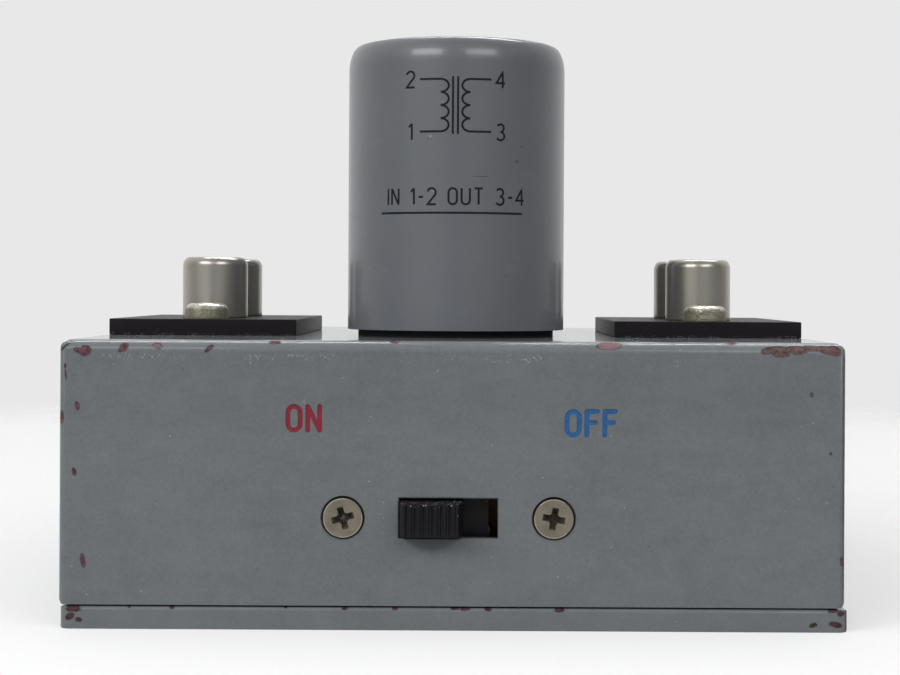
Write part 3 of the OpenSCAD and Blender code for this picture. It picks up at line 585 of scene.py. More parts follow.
def battered(name, bright, tarnish):
    """Tarnished plating of the plate screws: shinier on top and painted lighter there as a highlight, olive
    below and painted darker there as a reflection of the black plate, cracked and pitted.
    """
    f = Finish(name)
    p = f.place()
    seat = PLATE_TOP / MM
    lump = f.noise(p, 0.7, 3.0)
    fine = f.noise(p, 0.22, 3.0)
    crack = f.step(abs(f.noise(p, 1.1, 2.0, 0.6) - 0.5), 0.035, 0.008)
    # Painted highlight and reflection: the top of each head is painted light and its side darker, as if
    # reflecting the black plate
    worn = f.step(f.axes(p)[2] + (lump - 0.5) * 1.1, seat + 1.1, seat + 1.75)
    dark = (crack * 0.3).most(f.step(fine, 0.6, 0.72) * 0.25)
    return f.surface({
        "Base Color": f.mix(dark, f.mix(worn, tarnish, bright), shade(tarnish, 0.15)),
        "Metallic": 0.5 + worn * 0.4,
        "Roughness": 0.42 - worn * 0.18 + fine * 0.1,
        "Normal": f.bump(lump * 0.5 + fine * 0.3 - crack * 0.4, 0.12 * MM),
    })


def moulded(name, tone, roughness, dusty=0.4, shine=0.5, ledge=None, grains=0.42):
    """Moulded plastic, laminate or sleeve with fine texture and dust, thicker on a ledge at that height."""
    f = Finish(name)
    p = f.place()
    grain = f.noise(p, 0.18, 3.0)
    cloud = f.noise(p, 5.0, 3.0)
    dust = f.specks(p, 0.8, 0.07, 0.35)
    if ledge:
        shelf = f.step(abs(f.axes(p)[2] - ledge + (cloud - 0.5) * 0.2), 0.22, 0.08)
        dust = dust.most(f.specks(p, grains, 0.36, dusty) * shelf * 1.5)
    skin = f.mix(cloud * 0.5 + grain * 0.5, shade(tone, 0.8), shade(tone, 1.25))
    return f.surface({
        "Base Color": f.mix(dust * dusty, skin, linear("b3b0ab")),
        "Roughness": roughness + grain * 0.12 + dust * 0.3,
        "Specular IOR Level": shine,
        "Normal": f.bump(grain * 0.5 + cloud * 0.3, 0.03 * MM),
    })


def wound(name, tone):
    """Winding with its layers of fine wire, painted darker between the turns as shade."""
    f = Finish(name)
    p = f.place()
    # Painted shade: each turn of wire is lit on its crown and painted darker where it meets the next
    turn = abs((f.axes(p)[2] * 22.0).sine())
    cloud = f.noise(p, 1.5, 3.0)
    return f.surface({
        "Base Color": f.mix(turn * 0.7 + cloud * 0.3, shade(tone, 0.4), tone),
        "Metallic": 0.6,
        "Roughness": 0.3 + cloud * 0.2,
        "Normal": f.bump(turn, 0.06 * MM),
    })


def stacked(name, tone):
    """Core of thin laminations."""
    f = Finish(name)
    p = f.place()
    sheet = abs((f.axes(p)[1] * 9.0).sine())
    rust = f.step(f.noise(p, 1.8, 4.0), 0.5, 0.75)
    return f.surface({
        "Base Color": f.mix(rust * 0.6, tone, linear("5a4438")),
        "Metallic": 1.0 - rust * 0.6,
        "Roughness": 0.4 + rust * 0.3,
        "Normal": f.bump(f.step(sheet, 0.0, 0.25), 0.05 * MM),
    })


def filling(name, tone):
    """Enamel brushed into the engraving."""
    f = Finish(name)
    p = f.place()
    lumps = f.noise(p, 0.5, 3.0)
    fine = f.noise(p, 0.12)
    thin = f.step(f.noise(p, 0.8, 3.0), 0.56, 0.72)
    skin = f.mix(lumps * 0.7 + fine * 0.3, shade(tone, 0.5), shade(tone, 1.35))
    return f.surface({
        "Base Color": f.mix(thin * 0.45, skin, shade(tone, 0.3)),
        "Roughness": 0.3 + lumps * 0.25,
        "Normal": f.bump(lumps + fine * 0.4, 0.08 * MM),
    })


def inked(name, tone):
    """Screen-printed ink, thin in places."""
    f = Finish(name)
    p = f.place()
    worn = f.step(f.noise(p, 0.45, 3.0), 0.55, 0.75)
    mesh = f.noise(p, 0.09, 1.0)
    return f.surface({
        "Base Color": f.mix(worn * 0.5 + mesh * 0.15, tone, shade(tone, 3.0)),
        "Roughness": 0.5 + mesh * 0.2,
        "Specular IOR Level": 0.2,
        "Normal": f.bump(mesh, 0.01 * MM),
    })


# Slots that need only a colour or two: the maker of the finish, the display colours and its numbers
PLAIN_SLOTS = {
    "black_fibre": (moulded, ["1a1918"], 0.7),
    "brown_laminate": (moulded, ["5a3a22"], 0.45),
    "bobbin_plastic": (moulded, ["d8cfb4"], 0.4),
    "wax": (moulded, ["3a2d22"], 0.55, 0.1),
    "yellow_sleeve": (moulded, ["d9b425"], 0.4),
    "black_sleeve": (moulded, ["1c1c1c"], 0.4),
    "green_sleeve": (moulded, ["2d7a3a"], 0.4),
    "red_sleeve": (moulded, ["a8262a"], 0.4),
    "white_sleeve": (moulded, ["dcd9d0"], 0.4),
    "blue_sleeve": (moulded, ["3d55a0"], 0.4),
    "brass": (plated, ["b59a55", "6b5630"], 0.5, 0.28),
    "switch_steel": (plated, ["9a9a96", "6b665a"], 0.4, 0.32),
    "tinned_brass": (plated, ["c4bfb0", "7d7768"], 0.4, 0.3),
    "core_metal": (stacked, ["8a8d90"]),
    "copper_winding": (wound, ["b5622f"]),
}


def slot_finish(slot, scene):
    """Finish of a material slot of the record, made once."""
    name = "finish_" + slot
    if name in bpy.data.materials:
        return bpy.data.materials[name]
    if slot in PLAIN_SLOTS:
        maker, codes, *numbers = PLAIN_SLOTS[slot]
        return maker(name, *map(linear, codes), *numbers)
    metals = scene.step_up_metals
    maker, *values = {
        "can_paint": (can_enamel, scene.step_up_paint),
        "black_laminate": (moulded, metals.laminate, 0.4, 0.42, 0.22, PLATE_LEDGE, 0.16),
        "knob_plastic": (moulded, metals.knob, 0.4, 0.46, 0.2, KNOB_LEDGE, 0.34),
        "nickel_plate": (satin, metals.nickel, metals.tarnish),
        "screw_steel": (plated, metals.screw, metals.tarnish, 0.6, 0.34),
    }[slot]
    return maker(name, *values)


def wear(node, material):
    """Gives a CAD node its material."""
    slots = NODES[node].data.materials
    slots.clear()
    slots.append(material)


def piece(name, bm, body, material, replaces=(), sharp=30.0):
    """New piece on a body, smooth but for its sharp edges."""
    mesh = bpy.data.meshes.new(name)
    bmesh.ops.recalc_face_normals(bm, faces=bm.faces)
    for face in bm.faces:
        face.smooth = True
    for edge in bm.edges:
        edge.smooth = edge.calc_face_angle(math.pi) < math.radians(sharp)
    bm.to_mesh(mesh)
    bm.free()
    stale = mesh.attributes.get("custom_normal")
    if stale:
        mesh.attributes.remove(stale)
    mesh.materials.append(material)
    made = bpy.data.objects.new(name, mesh)
    bpy.context.scene.collection.objects.link(made)
    made.modifiers.new("even_normals", "WEIGHTED_NORMAL").keep_sharp = True
    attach(made, body)
    if replaces:
        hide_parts(*replaces)


def carved(bm, cutter, operation="DIFFERENCE"):
    """Result of a boolean between two meshes, as a new mesh."""
    objects = []
    for source in (bm, cutter):
        mesh = bpy.data.meshes.new("carving")
        bmesh.ops.recalc_face_normals(source, faces=source.faces)
        source.to_mesh(mesh)
        source.free()
        objects.append(bpy.data.objects.new("carving", mesh))
        bpy.context.scene.collection.objects.link(objects[-1])
    body, tool = objects
    cut = body.modifiers.new("cut", "BOOLEAN")
    cut.object = tool
    cut.operation = operation
    cut.solver = "EXACT"
    cut.use_self = True
    bpy.context.view_layer.update()
    result = bmesh.new()
    result.from_object(body, bpy.context.evaluated_depsgraph_get())
    for made in objects:
        mesh = made.data
        bpy.data.objects.remove(made)
        bpy.data.meshes.remove(mesh)
    if not result.faces:
        raise RuntimeError("the cut left nothing")
    bmesh.ops.remove_doubles(result, verts=result.verts, dist=1e-7)
    return result


def from_node(node):
    """Mesh of a CAD node with its split points joined."""
    bm = bmesh.new()
    bm.from_mesh(NODES[node].data)
    bmesh.ops.remove_doubles(bm, verts=bm.verts, dist=1e-6)
    return bm


def rounded(bm, width, degrees):
    """The same mesh with a rounding on its edges that turn by more than that."""
    limit = math.radians(degrees)
    sharp = [e for e in bm.edges if len(e.link_faces) == 2 and e.calc_face_angle(0) > limit]
    bmesh.ops.bevel(
        bm, geom=sharp, offset=width, segments=2, profile=0.5, affect="EDGES", clamp_overlap=True
    )
    return bm


def moved(bm, matrix):
    """The same mesh after a move."""
    bmesh.ops.transform(bm, matrix=matrix, verts=bm.verts)
    return bm


def joined(meshes):
    """One mesh of several."""
    whole = bmesh.new()
    for bm in meshes:
        mesh = bpy.data.meshes.new("joining")
        bm.to_mesh(mesh)
        bm.free()
        whole.from_mesh(mesh)
        bpy.data.meshes.remove(mesh)
    return whole


def skin(bm, rings, closed=False):
    """Faces between rings of points, one of which may be a single point, and over the ends of an open run."""
    for a, b in zip(rings, rings[1:] + rings[:1] if closed else rings[1:]):
        for k in range(max(len(a), len(b))):
            n = k + 1
            corners = dict.fromkeys((a[k % len(a)], a[n % len(a)], b[n % len(b)], b[k % len(b)]))
            if len(corners) > 2:
                bm.faces.new(list(corners))
    if not closed:
        bm.faces.new(rings[0])
        bm.faces.new(rings[-1])


def slab(low, high):
    """Mesh of a box between two corners."""
    bm = bmesh.new()
    middle = [(a + b) / 2 for a, b in zip(low, high)]
    size = [b - a for a, b in zip(low, high)]
    bmesh.ops.create_cube(bm, size=1.0, matrix=Matrix.Translation(middle) @ Matrix.Diagonal((*size, 1.0)))
    return bm


def arc(centre, radius, start, end, steps=10):
    """Points on part of an ellipse, in degrees."""
    turns = [math.radians(start + (end - start) * i / steps) for i in range(steps + 1)]
    return [(centre[0] + radius[0] * math.cos(t), centre[1] + radius[1] * math.sin(t)) for t in turns]


def fillet(points, radii, steps=8):
    """Outline whose corners are rounded by their radii."""
    made = []
    for i, (point, r) in enumerate(zip(points, radii)):
        if r <= 0:
            made.append(point)
            continue
        here = Vector(point)
        a = (Vector(points[i - 1]) - here).normalized()
        b = (Vector(points[(i + 1) % len(points)]) - here).normalized()
        half = a.angle(b) / 2
        middle = here + (a + b).normalized() * (r / math.sin(half))
        start = here + a * (r / math.tan(half)) - middle
        end = here + b * (r / math.tan(half)) - middle
        for k in range(steps + 1):
            turn = start.lerp(end, k / steps).normalized() * r
            made.append(tuple(middle + turn))
    return made


def turned(outline, segments=96):
    """Turned body of a closed outline of radius and height in millimetres, standing on the origin."""
    bm = bmesh.new()
    turns = [2 * math.pi * k / segments for k in range(segments)]
    rings = []
    for r, z in outline:
        around = turns if r > 1e-6 else turns[:1]
        rings.append([bm.verts.new((r * MM * math.cos(t), r * MM * math.sin(t), z * MM)) for t in around])
    skin(bm, rings, True)
    return bm


def wedge(bm, top, bottom, depth, lift=0.3):
    """Tapered bar that is sunk from the origin upwards, given by its half sizes in millimetres."""
    grown = [t + (t - b) * lift / depth for t, b in zip(top, bottom)]
    corners = ((-1, -1), (1, -1), (1, 1), (-1, 1))
    skin(bm, [
        [bm.verts.new((x * a * MM, y * b * MM, z * MM)) for x, y in corners]
        for (a, b), z in ((grown, -lift), (bottom, depth))
    ])


def node_middle(node):
    """Middle of a CAD node's box."""
    low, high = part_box(node)
    return (low + high) / 2


def four_places(low, high, inset):
    """Places of four screws in the corners of a box, that far from its sides."""
    return [(x, y) for x in (low.x + inset, high.x - inset) for y in (low.y + inset, high.y - inset)]


def cross_recess(head):
    """Cutter of a cross recess for a head of that diameter, sunk from the origin upwards."""
    arm, width, core = head * 0.285, head * 0.082, head * 0.142
    depth = head * 0.22
    bm = bmesh.new()
    wedge(bm, (arm, width), (arm * 0.45, width * 0.55), depth)
    wedge(bm, (width, arm), (width * 0.55, arm * 0.45), depth)
    cone = [(0, -0.3), (core * 1.25, -0.3), (core * 0.5, depth * 0.9), (0, depth * 1.15)]
    return joined([bm, turned(cone, 24)])


def countersunk(head, shank, length, rim):
    """Countersunk screw with a cross recess, its head facing down at the origin."""
    taper = (head - shank) / 2
    outline = fillet(
        [(0, 0), (head / 2, 0), (head / 2, rim), (shank / 2, rim + taper), (shank / 2, length), (0, length)],
        [0, 0.09, 0, 0.1, 0.15, 0], 4,
    )
    return carved(turned(outline), cross_recess(head))


def ring_letter(width):
    """Closed stroke of a round-cornered letter or figure, one unit high."""
    r = width / 2
    top = arc((r, 1 - r), (r, r), 0, 180, 12)
    bottom = arc((r, r), (r, r), 180, 360, 12)
    return top + bottom + top[:1]


# Strokes of the letters and figures, one unit high
GLYPHS = {
    "O": [ring_letter(0.52)],
    "N": [[(0, 0), (0, 1)], [(0, 1), (0.5, 0)], [(0.5, 0), (0.5, 1)]],
    "F": [[(0, 0), (0, 1)], [(0, 1), (0.44, 1)], [(0, 0.53), (0.36, 0.53)]],
    "I": [[(0, 0), (0, 1)]],
    "T": [[(0, 1), (0.52, 1)], [(0.26, 1), (0.26, 0)]],
    "U": [[(0, 1)] + arc((0.26, 0.26), (0.26, 0.26), 180, 360) + [(0.52, 1)]],
    "1": [[(0, 0.78), (0.2, 1)], [(0.2, 1), (0.2, 0)]],
    "2": [arc((0.26, 0.73), (0.26, 0.27), 165, -35) + [(0, 0), (0.54, 0)]],
    "3": [arc((0.25, 0.76), (0.23, 0.24), 150, -90), arc((0.25, 0.26), (0.27, 0.26), 90, -150)],
    "4": [[(0.42, 0), (0.42, 1), (0, 0.3), (0.58, 0.3)]],
    "-": [[(0.02, 0.46), (0.32, 0.46)]],
    " ": [],
}
SPACE = 0.3
# Engraved words: piece, letters, middle and foot in millimetres, and filling
WORDS = (
    ("word_on", "ON", -16.6, 22.0, "red"),
    ("word_off", "OFF", 15.5, 21.6, "blue"),
)


def set_line(words, cap, gap, middle, foot):
    """Strokes of a line of letters, centred on middle and standing on foot."""
    widths = [cap * max((x for stroke in GLYPHS[c] for x, _ in stroke), default=SPACE) for c in words]
    at = middle - (sum(widths) + gap * (len(words) - 1)) / 2
    strokes = []
    for letter, wide in zip(words, widths):
        for stroke in GLYPHS[letter]:
            strokes.append([(at + x * cap, foot + y * cap) for x, y in stroke])
        at += wide + gap
    return strokes


def along(points):
    """Points of a line, each with those before and after it, and whether the line is closed."""
    closed = (points[0] - points[-1]).length < 1e-9
    if closed:
        points = points[:-1]
        return list(zip(points[-1:] + points[:-1], points, points[1:] + points[:1])), True
    return list(zip(points[:1] + points[:-1], points, points[1:] + points[-1:])), False


def tube(bm, points, radius, sides=16, ends=5):
    """Round bar along points in the plane of the front, closed or with round ends."""
    line, closed = along([Vector((x, FRONT_Y, z)) for x, z in points])
    spine = [(here, (after - before).normalized(), radius) for before, here, after in line]
    if not closed:
        swell = [math.radians(90 * (k + 0.2) / ends) for k in range(ends)]
        head, way, _ = spine[0]
        tail, out, _ = spine[-1]
        start = [(head - way * radius * math.cos(a), way, radius * math.sin(a)) for a in swell]
        finish = [(tail + out * radius * math.cos(a), out, radius * math.sin(a)) for a in reversed(swell)]
        spine = start + spine + finish
    inward = Vector((0, 1, 0))
    turns = [2 * math.pi * k / sides for k in range(sides)]
    rings = []
    for here, way, r in spine:
        side = way.cross(inward)
        rings.append([bm.verts.new(here + r * (side * math.cos(t) + inward * math.sin(t))) for t in turns])
    skin(bm, rings, closed)


def engraving(words, settings):
    """Round-bottomed cutter of some words, half in and half out of the front. It runs inside the cap height,
    and goes straight from point to point where a stroke has few of them."""
    bm = bmesh.new()
    radius = settings.stroke / 2
    for _, letters, middle, foot, _ in words:
        inner = settings.cap - settings.stroke
        for stroke in set_line(letters, inner, settings.gap, middle * MM, foot * MM + radius):
            for part in zip(stroke, stroke[1:]) if len(stroke) < 6 else [stroke]:
                tube(bm, part, radius)
    return bm


def can_lines(cap):
    """Lines of the print, as across and up on the can in millimetres: a transformer's circuit symbol with pin
    numbers, a rule and one line of pin uses."""
    foot, turns, pitch, coil_x, lead_x, pin_x = 23.6, 4, 1.55, 1.75, 4.3, 5.5
    top = foot + turns * pitch
    text_foot, rule = 15.0, 14.0
    lines = []
    for side, pins in ((-1, "12"), (1, "34")):
        coil = []
        for k in range(turns):
            middle = (side * coil_x, foot + pitch * k + pitch / 2)
            coil += arc(middle, (-side * 0.95, pitch / 2), -90, 90, 10)
        lines.append(coil)
        for up, pin in zip((foot, top), pins):
            lines.append([(side * coil_x, up), (side * lead_x, up)])
            lines += set_line(pin, cap, 0.5, side * pin_x, up - cap / 2)
    lines += [[(x, foot - 0.3), (x, top + 0.3)] for x in (-0.3, 0.3)]
    lines.append([(-9.6, rule), (8.5, rule)])
    for words, middle in (("IN 1-2", -5.4), ("OUT 3-4", 4.0)):
        lines += set_line(words, cap, 0.55, middle, text_foot)
    return lines


class STEPUP_OT_case(bpy.types.Operator):
    """Case with the switch's two words engraved in its front"""

    bl_idname = "stepup.case"
    bl_label = "Engraved case"

    def execute(self, context):
        scene = context.scene
        finish = enamel("finish_case", "case_shell", CASE_CHIPS, scene.step_up_paint)
        case = carved(from_node("case_shell"), engraving(WORDS, scene.step_up_words))
        case = carved(case, self.slot_chamfer(scene.step_up_switch))
        piece("case_engraved", case, "chassis", finish, ["case_shell"])
        return {"FINISHED"}

    def slot_chamfer(self, settings):
        """Cutter that breaks the edge round the switch's slot."""
        middle = node_middle("switch_screws")
        half = mm(settings.slot_width / 2, settings.slot_height / 2)
        edge = settings.slot_edge / MM
        bm = bmesh.new()
        wedge(bm, [h + edge for h in half], half, edge, 0.2)
        place = Matrix.Translation((middle.x, FRONT_Y, middle.z))
        return moved(bm, place @ Matrix.Rotation(math.radians(-90), 4, "X"))


class STEPUP_OT_words(bpy.types.Operator):
    """Red and blue enamel in the engraved words"""

    bl_idname = "stepup.words"
    bl_label = "Word filling"

    def execute(self, context):
        settings = context.scene.step_up_words
        low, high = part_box("case_shell")
        for word in WORDS:
            keep = slab((low.x, low.y + settings.sunk, low.z), (high.x, low.y + 2 * settings.stroke, high.z))
            filled = carved(engraving([word], settings), keep, "INTERSECT")
            finish = filling("finish_" + word[0], getattr(settings, word[-1]))
            piece(word[0], filled, "chassis", finish)
        return {"FINISHED"}


class STEPUP_OT_base(bpy.types.Operator):
    """Enamel on the base plate"""

    bl_idname = "stepup.base"
    bl_label = "Base plate"

    def execute(self, context):
        paint = context.scene.step_up_paint
        wear("base_plate", enamel("finish_base", "base_plate", BASE_CHIPS, paint, False))
        return {"FINISHED"}


class STEPUP_OT_cans(bpy.types.Operator):
    """Drawn shield cans with their round rims"""

    bl_idname = "stepup.cans"
    bl_label = "Shield cans"

    def execute(self, context):
        paint = context.scene.step_up_paint
        finish = slot_finish("can_paint", context.scene)
        rim, drop, wall = mm(paint.can_rim, paint.can_rim_drop, paint.can_wall)
        for place in ("front", "rear"):
            node = "transformer_can_" + place
            low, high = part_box(node)
            middle = node_middle(node)
            r, h = mm((high.x - low.x) / 2, high.z - low.z)
            lip = fillet([(r, h / 2), (r, 0), (r - wall, 0), (r - wall, h / 2)], [0, 0.07, 0.07, 0], 6)
            outside = arc((r - rim, h - drop), (rim, drop), 90, 0, 26)
            inside = arc((r - rim, h - drop), (rim - wall, drop - wall), 0, 90, 12)
            outline = [(0, h), *outside, *lip, *inside, (0, h - wall)]
            can = moved(turned(outline, 168), Matrix.Translation((middle.x, middle.y, low.z)))
            piece("can_" + place, can, "chassis", finish, [node])
        return {"FINISHED"}


class STEPUP_OT_print(bpy.types.Operator):
    """Circuit symbol and pin numbers printed on the front can"""

    bl_idname = "stepup.print"
    bl_label = "Can print"

    def execute(self, context):
        settings = context.scene.step_up_print
        low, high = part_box("transformer_can_front")
        middle = node_middle("transformer_can_front")
        radius = (high.x - low.x) / 2
        bm = bmesh.new()
        for line in can_lines(settings.cap / MM):
            self.ribbon(bm, line, settings, radius, Vector((middle.x, middle.y, low.z)))
        piece("can_print", bm, "chassis", inked("finish_print", settings.ink))
        return {"FINISHED"}

    def ribbon(self, bm, line, settings, radius, centre):
        """Thin ribbon of ink along a line, wrapped round the can."""
        corners = [Vector((x * MM, z * MM)) for x, z in line]
        longest = 0.4 * MM
        points = corners[:1]
        for end in corners[1:]:
            start = points[-1]
            parts = max(1, math.ceil((end - start).length / longest))
            points += [start.lerp(end, k / parts) for k in range(1, parts + 1)]
        points, closed = along(points)
        film = settings.film
        rings = []
        for before, here, after in points:
            ways = [(b - a).normalized() for a, b in ((before, here), (here, after)) if (b - a).length]
            way = sum(ways, Vector((0, 0))).normalized()
            mitre = settings.line / 2 / max(0.5, way.dot(ways[0]))
            side = Vector((-way.y, way.x)) * mitre
            rings.append([
                bm.verts.new(self.wrap(here + side * s, radius + r, centre))
                for s, r in ((1, film), (-1, film), (-1, -film), (1, -film))
            ])
        skin(bm, rings, closed)

    def wrap(self, point, radius, centre):
        """Point of the flat print on the can."""
        turn = point.x / radius
        return centre + Vector((radius * math.sin(turn), -radius * math.cos(turn), point.y))


class STEPUP_OT_plates(bpy.types.Operator):
    """Black laminate plates with broken edges"""

    bl_idname = "stepup.plates"
    bl_label = "Jack plates"

    def execute(self, context):
        finish = slot_finish("black_laminate", context.scene)
        for side in ("left", "right"):
            node = "jack_plate_" + side
            bm = from_node(node)
            bmesh.ops.dissolve_limit(bm, angle_limit=math.radians(1), verts=bm.verts, edges=bm.edges)
            plate = rounded(bm, context.scene.step_up_metals.broken_edge, 35)
            piece("plate_" + side, plate, "chassis", finish, [node])
        return {"FINISHED"}


class STEPUP_OT_jacks(bpy.types.Operator):
    """Plated shells of the four jacks"""

    bl_idname = "stepup.jacks"
    bl_label = "Jack shells"

    def execute(self, context):
        s = context.scene.step_up_metals
        finish = slot_finish("nickel_plate", context.scene)
        wall, r, mouth, neck, collar = mm(s.shell_wall, s.shell / 2, s.mouth / 2, s.neck / 2, s.collar / 2)
        for place in ("left_front", "left_rear", "right_front", "right_rear"):
            node = "jack_shell_" + place
            low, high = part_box(node)
            middle = node_middle(node)
            top, bottom = mm(high.z - PLATE_TOP, low.z - PLATE_TOP)
            roll, ledge = bottom + 0.5, 0.5
            shoulder = (0.8, 1.15)
            outline = fillet(
                [
                    (r, top / 2), (r, 0), (neck, 0), (neck, roll), (collar, roll), (collar, bottom),
                    (neck - wall, bottom), (neck - wall, ledge), (r - wall, ledge), (r - wall, top - wall),
                    (mouth, top - wall), (mouth, top),
                ],
                [0, 0.1, 0.05, 0.05, 0.1, 0.1, 0.1, 0.05, 0.1, 0.3, 0.2, 0.2], 7,
            )
            outline += arc((r - shoulder[0], top - shoulder[1]), shoulder, 90, 0, 14)
            shell = moved(turned(outline, 112), Matrix.Translation((middle.x, middle.y, PLATE_TOP)))
            piece("shell_" + place, shell, "chassis", finish, [node])
        return {"FINISHED"}


class STEPUP_OT_plate_screws(bpy.types.Operator):
    """Tarnished pan head screws of the plates"""

    bl_idname = "stepup.plate_screws"
    bl_label = "Plate screws"

    def execute(self, context):
        settings = context.scene.step_up_metals
        low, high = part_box("plate_screws")
        head, shank = mm(settings.pan_head, settings.pan_shank / 2)
        tall, long = mm(high.z - PLATE_TOP, low.z - PLATE_TOP)
        r = head / 2
        outline = fillet(
            [(0, tall), (r * 0.94, tall - 0.08), (r, 0.3), (r, 0), (shank, 0), (shank, long), (0, long)],
            [0, 0.95, 0.2, 0.06, 0.05, 0.2, 0], 14,
        )
        outline = [*((k * 0.1 * r, tall - 0.008 * k) for k in range(5)), *outline[1:]]
        over = Matrix.Translation((0, 0, tall * MM)) @ Matrix.Rotation(math.pi, 4, "X")
        screws = []
        for i, (x, y) in enumerate(four_places(low, high, r * MM)):
            screw = carved(turned(outline, 120), moved(cross_recess(head), over))
            turn = Matrix.Rotation(0.7 + 1.1 * i, 4, "Z")
            screws.append(moved(screw, Matrix.Translation((x, y, PLATE_TOP)) @ turn))
        # The pale colour is the painted highlight on the tops of the heads
        finish = battered("finish_plate_screws", linear("d8d6c8"), linear("84826e"))
        piece("pan_screws", joined(screws), "chassis", finish, ["plate_screws"])
        return {"FINISHED"}


class STEPUP_OT_switch(bpy.types.Operator):
    """Moulded switch knob with its finger grooves, on its carrier"""

    bl_idname = "stepup.switch"
    bl_label = "Switch knob"

    def execute(self, context):
        settings = context.scene.step_up_switch
        low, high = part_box("switch_slider")
        middle = (low + high) / 2
        half_w, draft = settings.knob_width / 2, settings.knob_draft
        half_h = settings.knob_height / 2
        back = high.y - settings.carrier
        depth = settings.groove_depth
        bend = (settings.groove**2 + depth**2) / (2 * depth)
        lean = math.degrees(math.acos(settings.groove / bend))
        edge = [(-half_w, back), (-half_w, FRONT_Y), (-half_w + draft, low.y)]
        for i in range(settings.grooves):
            across = (i - (settings.grooves - 1) / 2) * settings.groove_pitch
            edge += arc((across, low.y + depth - bend), (bend, bend), 180 - lean, lean, 12)
        edge += [(half_w - draft, low.y), (half_w, FRONT_Y), (half_w, back)]
        knob = bmesh.new()
        rings = []
        for sign in (-1, 1):
            rings.append([])
            for x, y in edge:
                out = max(0.0, (FRONT_Y - y) / (FRONT_Y - low.y))
                up = sign * (half_h - draft / 2 * out)
                rings[-1].append(knob.verts.new((middle.x + x, y, middle.z + up)))
        skin(knob, rings)
        bmesh.ops.recalc_face_normals(knob, faces=knob.faces)
        overlap = 0.02 * MM
        carrier = slab((low.x, back - overlap, low.z), high)
        slider = carved(rounded(knob, settings.knob_edge, 40), carrier, "UNION")
        finish = slot_finish("knob_plastic", context.scene)
        piece("knob", slider, "slider", finish, ["switch_slider"], 40.0)
        return {"FINISHED"}


class STEPUP_OT_screws(bpy.types.Operator):
    """Countersunk screws of the switch and the base plate"""

    bl_idname = "stepup.screws"
    bl_label = "Countersunk screws"

    def execute(self, context):
        settings = context.scene.step_up_metals
        self.switch_screws(settings)
        self.base_screws(settings)
        return {"FINISHED"}

    def switch_screws(self, settings):
        """The two screws in the front, each with a painted highlight round the rim of its head."""
        low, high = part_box("switch_screws")
        r = settings.switch_head / 2
        places = (low.x + r, high.x - r)
        up = (low.z + high.z) / 2
        # Radius of the painted highlight round each head
        worn = r / MM - 0.2
        highlight_rims = [(mm(x, FRONT_Y, up), (worn, 9, worn), 0) for x in places]
        metal = (settings.screw, settings.tarnish)
        finish = plated("finish_switch_screws", *metal, 0.45, 0.36, 0.35, (1, FACE), highlight_rims)
        inward = Matrix.Rotation(math.radians(-90), 4, "X")
        made = []
        for x, turn in zip(places, (settings.left_turn, settings.right_turn)):
            head = 2 * (r - settings.seat_gap)
            screw = countersunk(*mm(head, settings.switch_shank, high.y - low.y), 0.12)
            place = Matrix.Translation((x, low.y, up))
            made.append(moved(screw, place @ inward @ Matrix.Rotation(-turn, 4, "Z")))
        piece("switch_cross_screws", joined(made), "chassis", finish, ["switch_screws"])

    def base_screws(self, settings):
        """The four screws in the base plate."""
        low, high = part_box("base_screws")
        metal = (settings.screw, settings.tarnish)
        finish = plated("finish_base_screws", *metal, 0.6, 0.36, 0.35, (2, low.z / MM))
        made = []
        for i, (x, y) in enumerate(four_places(low, high, settings.base_head / 2)):
            screw = countersunk(*mm(settings.base_head, settings.pan_shank, high.z - low.z), 0.15)
            turn = Matrix.Rotation(0.3 + 0.9 * i, 4, "Z")
            made.append(moved(screw, Matrix.Translation((x, y, low.z)) @ turn))
        piece("base_cross_screws", joined(made), "chassis", finish, ["base_screws"])


